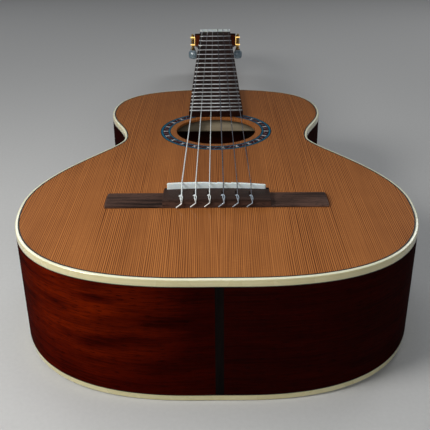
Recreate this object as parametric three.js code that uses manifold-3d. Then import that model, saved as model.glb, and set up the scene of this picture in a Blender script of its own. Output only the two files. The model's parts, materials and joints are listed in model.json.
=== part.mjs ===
// Classical guitar, built as separate pieces. Millimetres.
// +Y runs from the tail to the head, +Z out of the soundboard, +X to the treble side.
// y = 0 is the end of the string scale, z = 0 is the flat crown of the back it lies on.
import * as THREE from "three";
import { mergeVertices } from "three/addons/utils/BufferGeometryUtils.js";
import Module from "manifold-3d";

const wasm = await Module();
wasm.setup();

// Body
const TOP_Z = 106; // outer face of the soundboard, so also the depth of the body
const RIM_T = 2.3; // thickness of the sides and of both bindings
const TOP_T = 2.8;
const BACK_T = 2.5;
const TOP_BINDING_H = 5.6;
const BACK_BINDING_H = 5;
const BACK_CROWN_HALF = 30; // half width of the flat strip along the middle of the back
const BACK_ARCH_RISE = 5.5; // how far the edge of the back is above that strip
const LINING_T = 6;
const LINING_H = 12;
const BRACE_INSET = 8.6; // how far the braces stop inside the outline
const GLUE_T = 0.1; // glue line left between curved faces that meet

// Half outline: corner points with the lengths of the curve handles before and after each.
// The first and last handles run across the body, the others along it.
const LOWER_HALF = 164.6;
const STATIONS = [
  { x: 0, y: -139, after: 43 },
  { x: LOWER_HALF, y: -13, before: 134, after: 72 },
  { x: 95.7, y: 143, before: 26, after: 38.6 },
  { x: 119.5, y: 240, before: 44.5, after: 58.5 },
  { x: 0, y: 325, before: 82 },
];
const SAMPLES = [13, 10, 8, 10]; // straight steps on each of the four curves
const TAIL_Y = STATIONS[0].y;
const NECK_END_Y = STATIONS[4].y;

// Soundhole and rosette
const HOLE_Y = 168.3;
const HOLE_R = 42.3;
const ROSETTE_R0 = 48.8;
const ROSETTE_R1 = 59.4;
const ROSETTE_T = 1;
const CIRCLE_STEPS = 44;

// Neck, fingerboard and strings
const SCALE = 650;
const FRET_COUNT = 19;
const BOARD_END_Y = 212.5;
const BOARD_T = 6.4;
const NUT_HALF = 25.25;
const BOARD_SPREAD = 0.012; // how much the half width grows per mm away from the nut
const NUT_T = 5.5;
const NUT_H = 9.4;
const NUT_SLOT_Z = 8.4;
const FRET_W = 2.4;
const FRET_H = 1;
const TANG_W = 0.5;
const TANG_H = 2;
const SLOT_CLEAR = 0.1;
const SPINE_HALF = 1;
const SPINE_H = 2;
const NECK_T_NUT = 15;
const NECK_T_HEEL = 17;
const HEEL_CAP_T = 2.6;
const TENON_HALF = 20;
const TENON_Y = 302;
const STRING_R = [0.36, 0.41, 0.5, 0.38, 0.45, 0.55]; // string 1 is the thin one on the treble side
const SPACING_NUT = 8.64;
const SPACING_SADDLE = 11.7;
const STRING_GAP = 0.15; // left under a string so that it clears what it rests on
const STRING_SIDES = 6;

// Bridge
const BRIDGE_HALF = 93.25;
const BRIDGE_MID_HALF = 46;
const BRIDGE_FRONT = 2;
const BRIDGE_REAR = -25.4;
const BRIDGE_H = 8;
const BRIDGE_ARCH = 1.2; // the middle block falls by this from its centre to its ends
const TIE_FRONT = -18.5; // foot of the ramps where the string holes start
const TIE_HOLE_Z = 4.2;
const TIE_HOLE_R = 0.9;
const TIE_RAMP_Y = -8.5;
const TIE_RAMP_HALF = 1.3;
const SADDLE_Y = -2;
const SADDLE_T = 2.6;
const SADDLE_HALF = 42.15;
const SADDLE_FLOOR = 3.5;
const SADDLE_H = 13;
const SADDLE_ARCH = 1.54;
const SADDLE_LEAN = 0.0197; // fall of the crest per millimetre towards the treble side
const FILED_X = 6.4; // the crest is filed lower under string 3
const FILED_HALF = 6;
const FILED_DEPTH = 0.55;

// Blocks and braces
const TAIL_BLOCK_HALF = 45;
const TAIL_BLOCK_D = 18;
const NECK_BLOCK_HALF = 38;
const NECK_BLOCK_Y = 292;
const GRAFT_HALF = 3.2;
const GRAFT_X = 1.4; // the strip stands a little to the treble side of the middle
const HARMONIC_YS = [220, 114];
const BAR_W = 8;
const HARMONIC_H = 16;
const BACK_BRACE_YS = [232, 96, -40];
const BACK_BRACE_H = 14;
const FAN_COUNT = 5;
const FAN_W = 6;
const FAN_H = 5;

// Head: built flat with y along it and z out of its face, then tilted back behind the nut.
const HEAD_TILT = THREE.MathUtils.degToRad(14);
const HEAD_HALF = 35.3;
const HEAD_LEN = 178;
const HEAD_T = 17.5;
const VENEER_T = 2.5;
const TILTED_GAP = 0.3; // gap kept between tilted faces that lie on each other
const HEAD_MATRIX = new THREE.Matrix4()
  .makeTranslation(0, SCALE + NUT_T, TOP_Z)
  .multiply(new THREE.Matrix4().makeRotationX(-HEAD_TILT));
const HEAD_SLOT_X = 17;
const HEAD_SLOT_HALF = 8;
const HEAD_SLOT_Y0 = 26;
const HEAD_SLOT_Y1 = 142;
const RAMP_Y = 14;
const RAMP_ANGLE = THREE.MathUtils.degToRad(18);

// Tuning machines, three on each side of the head
const ROLLER_YS = [52, 87, 122];
const ROLLER_Z = -9;
const ROLLER_R = 5;
const ROLLER_BORE_R = 5.2;
const ROLLER_X0 = 5.8;
const ROLLER_STEP_X = 34.9;
const ROLLER_PIN_R = 2.8;
const ROLLER_SIDES = 16;
const PLATE_T = 1.2;
const PLATE_Y0 = 32;
const PLATE_Y1 = 144;
const PLATE_HALF_H = 7.5;
const PLATE_BORE_R = 3;
const GEAR_TEETH = 14;
const GEAR_R = 6.5;
const GEAR_TIP_R = 7.3;
const GEAR_ROOT_R = 5.5;
const GEAR_T = 2.6;
const WORM_X = 40.1;
const WORM_OFFSET = 9.1; // from the roller axis towards the nut
const WORM_ROOT_R = 1.6;
const WORM_TIP_R = 3.3;
const WORM_PITCH = (2 * Math.PI * GEAR_R) / GEAR_TEETH;
const WORM_SIDES = 8;
const WORM_TURNS = 3;
const SHAFT_R = 1.45;
const SHAFT_BORE_R = 1.6;
const LUG_Z = 6.2;
const LUG_HALF_T = 1;
const LUG_HALF_W = 3.2;
const LUG_REACH = 43.4;
const SHAFT_TOP = 12.4;
const KNOB_R = 2;
const COLLAR_R = 4;
const COLLAR_LEN = 4.7;
const BUTTON_TOP = -24.5;
const BUTTON_LEN = 15;
const BUTTON_HALF_W = 7.2;
const BUTTON_HALF_T = 4.2;
const BUTTON_TURNS = [0.2, -0.5, 0.9]; // radians about each worm, at rest

// Materials

const material = (color, roughness, metalness = 0) =>
  new THREE.MeshStandardMaterial({ color, roughness, metalness });
const cedar = () => material(0xb86a35, 0.4);
const spruce = () => material(0xd8b98a, 0.8);
const mahogany = () => material(0x5a2418, 0.3);
const neckWood = () => material(0x6b331e, 0.35);
const rosewood = () => material(0x2b1a15, 0.45);
const ebony = () => material(0x120f0e, 0.35);
const cream = () => material(0xd9c898, 0.35);
const mosaic = () => material(0x5f7880, 0.4);
const bone = () => material(0xf0ece0, 0.4);
const nickel = () => material(0xb9b9b4, 0.3, 1);
const brass = () => material(0xc79a45, 0.3, 1);
const rollerWhite = () => material(0xe9e5da, 0.45);
const pearl = () => material(0xe6dfc8, 0.25);
const woundSilver = () => material(0xc8c8cc, 0.35, 1);
const nylon = () => material(0xd5dde2, 0.2);

// Solids

function toSolid(geometry) {
  geometry.deleteAttribute("normal");
  geometry.deleteAttribute("uv");
  const merged = mergeVertices(geometry, 1e-5);
  const vertProperties = new Float32Array(merged.attributes.position.array);
  const triVerts = new Uint32Array(merged.index.array);
  return new wasm.Manifold(new wasm.Mesh({ numProp: 3, vertProperties, triVerts }));
}

function toGeometry(solid) {
  const mesh = solid.getMesh();
  const geometry = new THREE.BufferGeometry();
  geometry.setAttribute("position", new THREE.Float32BufferAttribute(mesh.vertProperties, 3));
  geometry.setIndex(new THREE.Uint32BufferAttribute(mesh.triVerts, 1));
  return geometry;
}

function extruded(shape, z0, z1, curveSegments = 6) {
  const geometry = new THREE.ExtrudeGeometry(shape, { depth: z1 - z0, bevelEnabled: false, curveSegments });
  return toSolid(geometry.translate(0, 0, z0));
}

// A shape drawn in (y, z) and extruded along x.
function extrudedAcross(shape, x0, x1) {
  const geometry = new THREE.ExtrudeGeometry(shape, { depth: x1 - x0, bevelEnabled: false });
  const turn = new THREE.Matrix4().makeBasis(
    new THREE.Vector3(0, 1, 0),
    new THREE.Vector3(0, 0, 1),
    new THREE.Vector3(1, 0, 0),
  );
  return toSolid(geometry.applyMatrix4(turn).translate(x0, 0, 0));
}

// A shape drawn in (x, z) and extruded along y.
function extrudedAlong(shape, y0, y1) {
  const geometry = new THREE.ExtrudeGeometry(shape, { depth: y1 - y0, bevelEnabled: false });
  return toSolid(geometry.rotateX(Math.PI / 2).translate(0, y1, 0));
}

function block(x0, x1, y0, y1, z0, z1) {
  const geometry = new THREE.BoxGeometry(x1 - x0, y1 - y0, z1 - z0);
  return toSolid(geometry.translate((x0 + x1) / 2, (y0 + y1) / 2, (z0 + z1) / 2));
}

function signedVolume(points, indices) {
  let sum = 0;
  for (let i = 0; i < indices.length; i += 3) {
    const cross = new THREE.Vector3().crossVectors(points[indices[i + 1]], points[indices[i + 2]]);
    sum += points[indices[i]].dot(cross);
  }
  return sum;
}

// Skins a list of rings, each with the same number of points, and closes both ends.
function lofted(rings) {
  const count = rings[0].length;
  const points = rings.flat();
  const indices = [];
  for (let i = 0; i + 1 < rings.length; i++) {
    for (let j = 0; j < count; j++) {
      const a = i * count + j;
      const b = i * count + ((j + 1) % count);
      indices.push(a, b, b + count, a, b + count, a + count);
    }
  }
  const last = (rings.length - 1) * count;
  for (let j = 1; j + 1 < count; j++) {
    indices.push(0, j + 1, j, last, last + j, last + j + 1);
  }
  if (signedVolume(points, indices) < 0) {
    indices.reverse();
  }
  const geometry = new THREE.BufferGeometry().setFromPoints(points);
  geometry.setIndex(indices);
  return toSolid(geometry);
}

// A round bar along x, given as a list of [x, radius].
function turnedAlongX(profile, y, z, sides) {
  const ring = ([x, r]) =>
    Array.from({ length: sides }, (_, i) => {
      const angle = (2 * Math.PI * i) / sides;
      return new THREE.Vector3(x, y + r * Math.cos(angle), z + r * Math.sin(angle));
    });
  return lofted(profile.map(ring));
}

function placed(solid, matrix) {
  const geometry = toGeometry(solid).applyMatrix4(matrix);
  return toSolid(geometry);
}

function mirrored(solid) {
  const geometry = toGeometry(solid).scale(-1, 1, 1);
  const index = Array.from(geometry.index.array).reverse();
  geometry.setIndex(index);
  return toSolid(geometry);
}

const onSide = (side, solid) => (side < 0 ? mirrored(solid) : solid);

// Body outline

function curvePoint(start, end, first, last, t) {
  const p1 = first ? [start.x + start.after, start.y] : [start.x, start.y + start.after];
  const p2 = last ? [end.x + end.before, end.y] : [end.x, end.y - end.before];
  const curve = new THREE.CubicBezierCurve(
    new THREE.Vector2(start.x, start.y),
    new THREE.Vector2(...p1),
    new THREE.Vector2(...p2),
    new THREE.Vector2(end.x, end.y),
  );
  return { point: curve.getPoint(t), tangent: curve.getTangent(t) };
}

// Treble half of the outline, from the tail to the neck, moved inwards by inset.
function halfOutline(inset) {
  const points = [];
  SAMPLES.forEach((steps, i) => {
    const isLast = i === SAMPLES.length - 1;
    for (let k = 0; k < steps + (isLast ? 1 : 0); k++) {
      const { point, tangent } = curvePoint(STATIONS[i], STATIONS[i + 1], i === 0, isLast, k / steps);
      points.push(new THREE.Vector2(point.x - tangent.y * inset, point.y + tangent.x * inset));
    }
  });
  points[0].x = 0;
  points[points.length - 1].x = 0;
  return points;
}

function outline(inset) {
  const half = halfOutline(inset);
  const other = half.slice(1, -1).reverse().map((p) => new THREE.Vector2(-p.x, p.y));
  return [...half, ...other];
}

function rim(inset0, inset1, z0, z1) {
  const shape = new THREE.Shape(outline(inset0));
  shape.holes.push(new THREE.Path(outline(inset1)));
  return extruded(shape, z0, z1);
}

const slab = (inset, z0, z1) => extruded(new THREE.Shape(outline(inset)), z0, z1);

function backHeight(x) {
  const t = Math.max(0, Math.abs(x) - BACK_CROWN_HALF) / (LOWER_HALF - BACK_CROWN_HALF);
  return BACK_ARCH_RISE * t * t;
}

// Everything below the arched surface of the back, raised by lift.
function belowBack(lift) {
  const reach = 1.25 * LOWER_HALF;
  const deep = -20;
  const steps = [-1.25, -1, -0.7, -0.4];
  const xs = steps.map((s) => s * LOWER_HALF);
  const edge = [...xs, -BACK_CROWN_HALF, BACK_CROWN_HALF, ...xs.map((x) => -x).reverse()];
  const points = edge.map((x) => new THREE.Vector2(x, backHeight(x) + lift));
  points.push(new THREE.Vector2(reach, deep), new THREE.Vector2(-reach, deep));
  return extrudedAlong(new THREE.Shape(points.reverse()), TAIL_Y - 20, NECK_END_Y + 20);
}

const FAR = 400;
const trebleOnly = (x) => block(x, FAR, -FAR, FAR, -FAR, FAR);
const tailZone = (half, x = 0) => block(x - half, x + half, -FAR, 0, -FAR, FAR);
const neckZone = (half) => block(-half, half, HOLE_Y, FAR, -FAR, FAR);

function circle(r, sides = CIRCLE_STEPS) {
  return Array.from({ length: sides }, (_, i) => {
    const angle = (2 * Math.PI * i) / sides;
    return new THREE.Vector2(r * Math.cos(angle), HOLE_Y + r * Math.sin(angle));
  });
}

function annulus(r0, r1, z0, z1) {
  const shape = new THREE.Shape(circle(r1));
  shape.holes.push(new THREE.Path(circle(r0)));
  return extruded(shape, z0, z1);
}

function soundboard() {
  const shape = new THREE.Shape(outline(RIM_T));
  shape.holes.push(new THREE.Path(circle(HOLE_R)));
  const channel = annulus(ROSETTE_R0, ROSETTE_R1, TOP_Z - ROSETTE_T, TOP_Z + 1);
  return extruded(shape, TOP_Z - TOP_T, TOP_Z).subtract(channel);
}

const rosette = () => annulus(ROSETTE_R0, ROSETTE_R1, TOP_Z - ROSETTE_T, TOP_Z);

function backPlate() {
  return slab(RIM_T, -1, 2 * BACK_BINDING_H).intersect(belowBack(BACK_T)).subtract(belowBack(0));
}

const topBinding = () => rim(0, RIM_T, TOP_Z - TOP_BINDING_H, TOP_Z);

function backBinding() {
  return rim(0, RIM_T, -1, 3 * BACK_BINDING_H).intersect(belowBack(BACK_BINDING_H)).subtract(belowBack(0));
}

const sideRim = () => rim(0, RIM_T, 0, TOP_Z - TOP_BINDING_H).subtract(belowBack(BACK_BINDING_H));

function side(s) {
  const half = sideRim().intersect(trebleOnly(GRAFT_HALF + s * GRAFT_X)).subtract(neckZone(TENON_HALF));
  return onSide(s, half);
}

const tailGraft = () => sideRim().intersect(tailZone(GRAFT_HALF, GRAFT_X));

function liningHalf(full) {
  return full.intersect(trebleOnly(0)).subtract(tailZone(TAIL_BLOCK_HALF)).subtract(neckZone(NECK_BLOCK_HALF));
}

function topLining() {
  const top = TOP_Z - TOP_T;
  return liningHalf(rim(RIM_T, RIM_T + LINING_T, top - LINING_H, top));
}

function backLining() {
  const full = rim(RIM_T, RIM_T + LINING_T, 0, BACK_T + LINING_H);
  return liningHalf(full.subtract(belowBack(BACK_T + GLUE_T)));
}

function tailBlock() {
  const depth = RIM_T + TAIL_BLOCK_D;
  const box = block(-TAIL_BLOCK_HALF, TAIL_BLOCK_HALF, TAIL_Y - 1, TAIL_Y + depth, 0, TOP_Z - TOP_T);
  return box.intersect(slab(RIM_T + GLUE_T, -1, TOP_Z)).subtract(belowBack(BACK_T + GLUE_T));
}

const tenon = () =>
  block(-TENON_HALF, TENON_HALF, TENON_Y, NECK_END_Y + 3, BACK_BINDING_H, TOP_Z - TOP_BINDING_H);

function neckBlock() {
  const box = block(-NECK_BLOCK_HALF, NECK_BLOCK_HALF, NECK_BLOCK_Y, NECK_END_Y, 0, TOP_Z - TOP_T);
  return box.intersect(slab(RIM_T + GLUE_T, -1, TOP_Z)).subtract(belowBack(BACK_T + GLUE_T)).subtract(tenon());
}

function harmonicBar(y) {
  const top = TOP_Z - TOP_T;
  const box = block(-FAR, FAR, y - BAR_W / 2, y + BAR_W / 2, top - HARMONIC_H, top);
  return box.intersect(slab(BRACE_INSET, 0, TOP_Z));
}

function backBrace(y) {
  const box = block(-FAR, FAR, y - BAR_W / 2, y + BAR_W / 2, 0, BACK_T + BACK_BRACE_H);
  return box.intersect(slab(BRACE_INSET, 0, TOP_Z)).subtract(belowBack(BACK_T + GLUE_T));
}

// Five struts spreading towards the tail, joined by the patch under the bridge.
function fanBracing() {
  const top = TOP_Z - TOP_T;
  const front = 104;
  const rear = -108;
  const frontStep = 20;
  const rearStep = 35;
  const patchT = 2;
  let solid = block(-BRIDGE_HALF, BRIDGE_HALF, BRIDGE_REAR, BRIDGE_FRONT, top - patchT, top);
  for (let k = 0; k < FAN_COUNT; k++) {
    const n = k - (FAN_COUNT - 1) / 2;
    const shape = new THREE.Shape();
    shape.moveTo(n * rearStep - FAN_W / 2, rear);
    shape.lineTo(n * rearStep + FAN_W / 2, rear);
    shape.lineTo(n * frontStep + FAN_W / 2, front);
    shape.lineTo(n * frontStep - FAN_W / 2, front);
    solid = solid.add(extruded(shape, top - FAN_H, top));
  }
  return solid;
}

// Neck, heel and head

const boardHalf = (y) => NUT_HALF + (SCALE - y) * BOARD_SPREAD;

function shaftRing(y, depth) {
  const steps = 10;
  const fullness = 0.8;
  return Array.from({ length: steps + 1 }, (_, i) => {
    const angle = (Math.PI * i) / steps;
    const drop = Math.abs(Math.sin(angle)) ** fullness;
    const isEdge = i === 0 || i === steps;
    const z = isEdge ? TOP_Z : TOP_Z - depth * drop;
    return new THREE.Vector3(boardHalf(y) * Math.cos(angle), y, z);
  });
}

function shaft() {
  return lofted([
    shaftRing(NECK_END_Y - 12, NECK_T_HEEL),
    shaftRing(NECK_END_Y + 75, NECK_T_HEEL),
    shaftRing(SCALE + NUT_T, NECK_T_NUT),
  ]);
}

// One level slice of the heel at height t, from 0 at its foot to 1 inside the neck.
function heelRing(t, z) {
  const reach = 24 + 3 * t + 40 * t ** 4;
  const half = 14 + 13 * t ** 1.3;
  const steps = 10;
  const ring = Array.from({ length: steps + 1 }, (_, i) => {
    const angle = (Math.PI * i) / steps;
    const out = Math.abs(Math.sin(angle)) ** 0.8;
    return new THREE.Vector3(half * Math.cos(angle), NECK_END_Y - 4 + (reach + 4) * out, z);
  });
  const backY = NECK_END_Y - 12;
  return [new THREE.Vector3(half, backY, z), ...ring, new THREE.Vector3(-half, backY, z)];
}

function heel() {
  const levels = [0, 0.35, 0.6, 0.75, 0.86, 0.94, 1];
  const height = TOP_Z - 12 - HEEL_CAP_T;
  return lofted(levels.map((t) => heelRing(t, HEEL_CAP_T + t * height)));
}

const bodyVolume = () => slab(0, -5, TOP_Z + 5);

const heelCap = () => lofted([heelRing(0, 0), heelRing(0, HEEL_CAP_T)]).subtract(bodyVolume());

function headShape() {
  const shoulder = 24;
  const crestStart = HEAD_LEN - 12;
  const shape = new THREE.Shape();
  shape.moveTo(-NUT_HALF, -6);
  shape.lineTo(NUT_HALF, -6);
  shape.lineTo(NUT_HALF, 3);
  shape.bezierCurveTo(NUT_HALF, 13, HEAD_HALF, 12, HEAD_HALF, shoulder);
  shape.lineTo(HEAD_HALF, crestStart);
  shape.quadraticCurveTo(HEAD_HALF * 0.6, HEAD_LEN, 0, HEAD_LEN);
  shape.quadraticCurveTo(-HEAD_HALF * 0.6, HEAD_LEN, -HEAD_HALF, crestStart);
  shape.lineTo(-HEAD_HALF, shoulder);
  shape.bezierCurveTo(-HEAD_HALF, 12, -NUT_HALF, 13, -NUT_HALF, 3);
  for (const side of [-1, 1]) {
    const slot = new THREE.Path();
    slot.absarc(side * HEAD_SLOT_X, HEAD_SLOT_Y0 + HEAD_SLOT_HALF, HEAD_SLOT_HALF, Math.PI, 2 * Math.PI);
    slot.absarc(side * HEAD_SLOT_X, HEAD_SLOT_Y1 - HEAD_SLOT_HALF, HEAD_SLOT_HALF, 0, Math.PI);
    shape.holes.push(slot);
  }
  return shape;
}

// The sloping cut that lets the strings dive from the nut into a head slot.
function stringRamp(side) {
  const half = HEAD_SLOT_HALF - 1;
  const length = 2 * (HEAD_SLOT_Y0 - RAMP_Y);
  const geometry = new THREE.BoxGeometry(2 * half, length, 12);
  geometry.translate(side * HEAD_SLOT_X, length / 2, 6);
  geometry.rotateX(-RAMP_ANGLE);
  return toSolid(geometry.translate(0, RAMP_Y, VENEER_T + TILTED_GAP));
}

function rollerBore(side, y) {
  const profile = [
    [ROLLER_X0 - 0.5, ROLLER_BORE_R],
    [HEAD_HALF + 1, ROLLER_BORE_R],
  ];
  return onSide(side, turnedAlongX(profile, y, ROLLER_Z, ROLLER_SIDES));
}

function head() {
  let solid = extruded(headShape(), -HEAD_T, 0);
  for (const side of [-1, 1]) {
    solid = solid.subtract(stringRamp(side));
    for (const y of ROLLER_YS) {
      solid = solid.subtract(rollerBore(side, y));
    }
  }
  const aboveNeck = block(-FAR, FAR, 0, SCALE + NUT_T, TOP_Z, FAR);
  return placed(solid, HEAD_MATRIX).subtract(aboveNeck);
}

function neck() {
  return shaft().add(heel()).subtract(bodyVolume()).add(head()).add(tenon());
}

function headVeneer() {
  const behindNut = block(-FAR, FAR, TILTED_GAP, FAR, -FAR, FAR);
  let solid = extruded(headShape(), TILTED_GAP, TILTED_GAP + VENEER_T).intersect(behindNut);
  for (const side of [-1, 1]) {
    solid = solid.subtract(stringRamp(side));
  }
  const nutSide = block(-FAR, FAR, 0, SCALE + NUT_T + TILTED_GAP, 0, FAR);
  return placed(solid, HEAD_MATRIX).subtract(nutSide);
}

// Fingerboard, frets, nut

const fretY = (n) => SCALE / 2 ** (n / 12);
const frets = (make) => Array.from({ length: FRET_COUNT }, (_, i) => make(fretY(i + 1)));
const joined = (solids) => solids.reduce((a, b) => a.add(b));

function spine(half, top) {
  const margin = half - SPINE_HALF + 1;
  return block(-half, half, fretY(FRET_COUNT) - margin, fretY(1) + margin, TOP_Z, TOP_Z + top);
}

function fingerboard() {
  const shape = new THREE.Shape();
  shape.moveTo(-boardHalf(BOARD_END_Y), BOARD_END_Y);
  shape.lineTo(boardHalf(BOARD_END_Y), BOARD_END_Y);
  shape.lineTo(NUT_HALF, SCALE);
  shape.lineTo(-NUT_HALF, SCALE);
  const slotHalf = TANG_W / 2 + SLOT_CLEAR;
  const floor = TOP_Z + BOARD_T - TANG_H - SLOT_CLEAR;
  const slots = frets((y) => block(-FAR, FAR, y - slotHalf, y + slotHalf, floor, TOP_Z + FAR));
  const channelTop = BOARD_T - TANG_H + SLOT_CLEAR;
  const channel = spine(SPINE_HALF + SLOT_CLEAR, channelTop);
  return extruded(shape, TOP_Z, TOP_Z + BOARD_T).subtract(joined(slots)).subtract(channel);
}

function fretWire(y) {
  const half = boardHalf(y) - 0.3;
  const top = TOP_Z + BOARD_T;
  const crown = new THREE.Shape();
  crown.moveTo(y - FRET_W / 2, top);
  crown.lineTo(y + FRET_W / 2, top);
  crown.lineTo(y + FRET_W / 4, top + FRET_H);
  crown.lineTo(y - FRET_W / 4, top + FRET_H);
  const tang = block(-half, half, y - TANG_W / 2, y + TANG_W / 2, top - TANG_H, top + FRET_H / 2);
  const post = block(-SPINE_HALF, SPINE_HALF, y - TANG_W / 2, y + TANG_W / 2, TOP_Z, top);
  return extrudedAcross(crown, -half, half).add(tang).add(post);
}

const fretSet = () => joined(frets(fretWire)).add(spine(SPINE_HALF, SPINE_H));

// String n lies n - 3.5 spacings from the centre line, string 1 on the treble side.
const stringX = (n, spacing) => (3.5 - n) * spacing;

function nut() {
  let solid = block(-NUT_HALF, NUT_HALF, SCALE, SCALE + NUT_T, TOP_Z, TOP_Z + NUT_H);
  STRING_R.forEach((r, i) => {
    const x = stringX(i + 1, SPACING_NUT);
    const half = r + STRING_GAP;
    const floor = TOP_Z + NUT_SLOT_Z;
    solid = solid.subtract(block(x - half, x + half, SCALE - 1, SCALE + NUT_T + 1, floor, floor + 5));
  });
  return solid;
}

// Bridge and saddle

function polygon(points) {
  return new THREE.Shape(points.map(([a, b]) => new THREE.Vector2(a, b)));
}

function wingRing(x, scale) {
  const middle = (BRIDGE_FRONT + BRIDGE_REAR) / 2;
  const section = [
    [BRIDGE_REAR, 0],
    [BRIDGE_FRONT, 0],
    [BRIDGE_FRONT, 1.2],
    [BRIDGE_FRONT - 4, 2.6],
    [middle, 3.2],
    [BRIDGE_REAR + 4, 2.6],
    [BRIDGE_REAR, 1.2],
  ];
  return section.map(([y, z]) => new THREE.Vector3(x, y, TOP_Z + z * scale));
}

function wings() {
  const bevel = 5;
  const low = 0.45;
  const inner = BRIDGE_HALF - bevel;
  return lofted([
    wingRing(-BRIDGE_HALF, low),
    wingRing(-inner, 1),
    wingRing(inner, 1),
    wingRing(BRIDGE_HALF, low),
  ]);
}

function middleRing(x) {
  const frontSlope = 2;
  const rearChamfer = 0.8;
  const top = BRIDGE_H - BRIDGE_ARCH * (x / BRIDGE_MID_HALF) ** 2;
  const section = [
    [BRIDGE_REAR, 0],
    [BRIDGE_FRONT, 0],
    [BRIDGE_FRONT, top - frontSlope],
    [BRIDGE_FRONT - frontSlope, top],
    [BRIDGE_REAR + rearChamfer, top],
    [BRIDGE_REAR, top - rearChamfer],
  ];
  return section.map(([y, z]) => new THREE.Vector3(x, y, TOP_Z + z));
}

function bridgeMiddle() {
  const steps = 6;
  const rings = Array.from({ length: steps + 1 }, (_, i) => middleRing(BRIDGE_MID_HALF * ((2 * i) / steps - 1)));
  return lofted(rings);
}

function tieHole(n) {
  const sides = 8;
  const ring = (y) =>
    Array.from({ length: sides }, (_, i) => {
      const angle = (2 * Math.PI * i) / sides;
      const x = stringX(n, SPACING_SADDLE) + TIE_HOLE_R * Math.cos(angle);
      return new THREE.Vector3(x, y, TOP_Z + TIE_HOLE_Z + TIE_HOLE_R * Math.sin(angle));
    });
  return lofted([ring(BRIDGE_REAR - 1), ring(TIE_FRONT + 1)]);
}

// The slot that leads string n from the saddle down to its hole, a little wider on the bass side.
function tieRamp(n) {
  const x = stringX(n, SPACING_SADDLE) - TIE_RAMP_HALF / 2;
  const floor = TIE_HOLE_Z - TIE_HOLE_R;
  const section = [
    [TIE_FRONT, floor],
    [TIE_RAMP_Y, BRIDGE_H],
    [TIE_RAMP_Y, BRIDGE_H + 1],
    [TIE_FRONT, BRIDGE_H + 1],
  ];
  const raised = section.map(([y, z]) => [y, TOP_Z + z]);
  return extrudedAcross(polygon(raised), x - TIE_RAMP_HALF, x + TIE_RAMP_HALF);
}

function bridge() {
  const y0 = SADDLE_Y - SADDLE_T / 2;
  const y1 = SADDLE_Y + SADDLE_T / 2;
  const past = BRIDGE_MID_HALF + 1; // the slot is open at both ends
  const slot = block(-past, past, y0, y1, TOP_Z + SADDLE_FLOOR, TOP_Z + SADDLE_H);
  let solid = wings().add(bridgeMiddle()).subtract(slot);
  for (let n = 1; n <= STRING_R.length; n++) {
    solid = solid.subtract(tieHole(n)).subtract(tieRamp(n));
  }
  return solid;
}

function saddleCrest(x) {
  return TOP_Z + SADDLE_H - SADDLE_LEAN * x - SADDLE_ARCH * (x / SADDLE_HALF) ** 2;
}

function saddleTop(x) {
  return saddleCrest(x) - (Math.abs(x - FILED_X) < FILED_HALF ? FILED_DEPTH : 0);
}

function saddle() {
  const half = SADDLE_HALF - SLOT_CLEAR;
  const y0 = SADDLE_Y - SADDLE_T / 2 + SLOT_CLEAR;
  const y1 = SADDLE_Y + SADDLE_T / 2 - SLOT_CLEAR;
  const step0 = FILED_X - FILED_HALF;
  const step1 = FILED_X + FILED_HALF;
  const high = (x) => [x, saddleCrest(x)];
  const filed = (x) => [x, saddleCrest(x) - FILED_DEPTH];
  const crest = [high(half), high(32), high(22), high(step1), filed(step1), filed(step0), high(step0)];
  crest.push(high(-10), high(-21), high(-32), high(-half));
  const points = [[-half, TOP_Z + SADDLE_FLOOR], [half, TOP_Z + SADDLE_FLOOR], ...crest];
  return extrudedAlong(polygon(points), y0, y1);
}

// Strings

function sweepRing(points, i, r) {
  const before = points[Math.max(i - 1, 0)];
  const after = points[Math.min(i + 1, points.length - 1)];
  const into = new THREE.Vector3().subVectors(points[i], before).normalize();
  const out = new THREE.Vector3().subVectors(after, points[i]).normalize();
  const along = into.add(out).normalize();
  const up = new THREE.Vector3().crossVectors(new THREE.Vector3(1, 0, 0), along).normalize();
  const across = new THREE.Vector3().crossVectors(along, up);
  return Array.from({ length: STRING_SIDES }, (_, k) => {
    const angle = (2 * Math.PI * k) / STRING_SIDES;
    const offset = up.clone().multiplyScalar(r * Math.sin(angle)).addScaledVector(across, r * Math.cos(angle));
    return offset.add(points[i]);
  });
}

// Where string n meets its roller: outer strings go to the rollers nearest the nut.
function rollerLanding(n, r) {
  const side = n <= 3 ? 1 : -1;
  const order = n <= 3 ? n - 1 : 6 - n;
  const landingX = [20.5, 18.5, 16][order];
  const z = ROLLER_Z + ROLLER_R + TILTED_GAP + r;
  return new THREE.Vector3(side * landingX, ROLLER_YS[order], z).applyMatrix4(HEAD_MATRIX);
}

function string(n) {
  const r = STRING_R[n - 1];
  const xs = stringX(n, SPACING_SADDLE);
  const xn = stringX(n, SPACING_NUT);
  const saddleZ = saddleTop(xs) + STRING_GAP + r;
  const nutZ = TOP_Z + NUT_SLOT_Z + STRING_GAP + r;
  const saddleRear = SADDLE_Y - SADDLE_T / 2 - 0.3;
  const path = [
    new THREE.Vector3(xs, BRIDGE_REAR + 0.2, TOP_Z + TIE_HOLE_Z),
    new THREE.Vector3(xs, TIE_FRONT + 0.1, TOP_Z + TIE_HOLE_Z),
    new THREE.Vector3(xs, saddleRear, saddleZ),
    new THREE.Vector3(xn, SCALE, nutZ),
    new THREE.Vector3(xn, SCALE + NUT_T, nutZ),
    rollerLanding(n, r),
  ];
  return lofted(path.map((_, i) => sweepRing(path, i, r)));
}

// Tuning machines, built on the treble side of the flat head and mirrored for the bass side

function boreAlongZ(x, y, r) {
  const sides = 12;
  const ring = (z) =>
    Array.from({ length: sides }, (_, i) => {
      const angle = (2 * Math.PI * i) / sides;
      return new THREE.Vector3(x + r * Math.cos(angle), y + r * Math.sin(angle), z);
    });
  return lofted([ring(ROLLER_Z - 20), ring(ROLLER_Z + 20)]);
}

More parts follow.
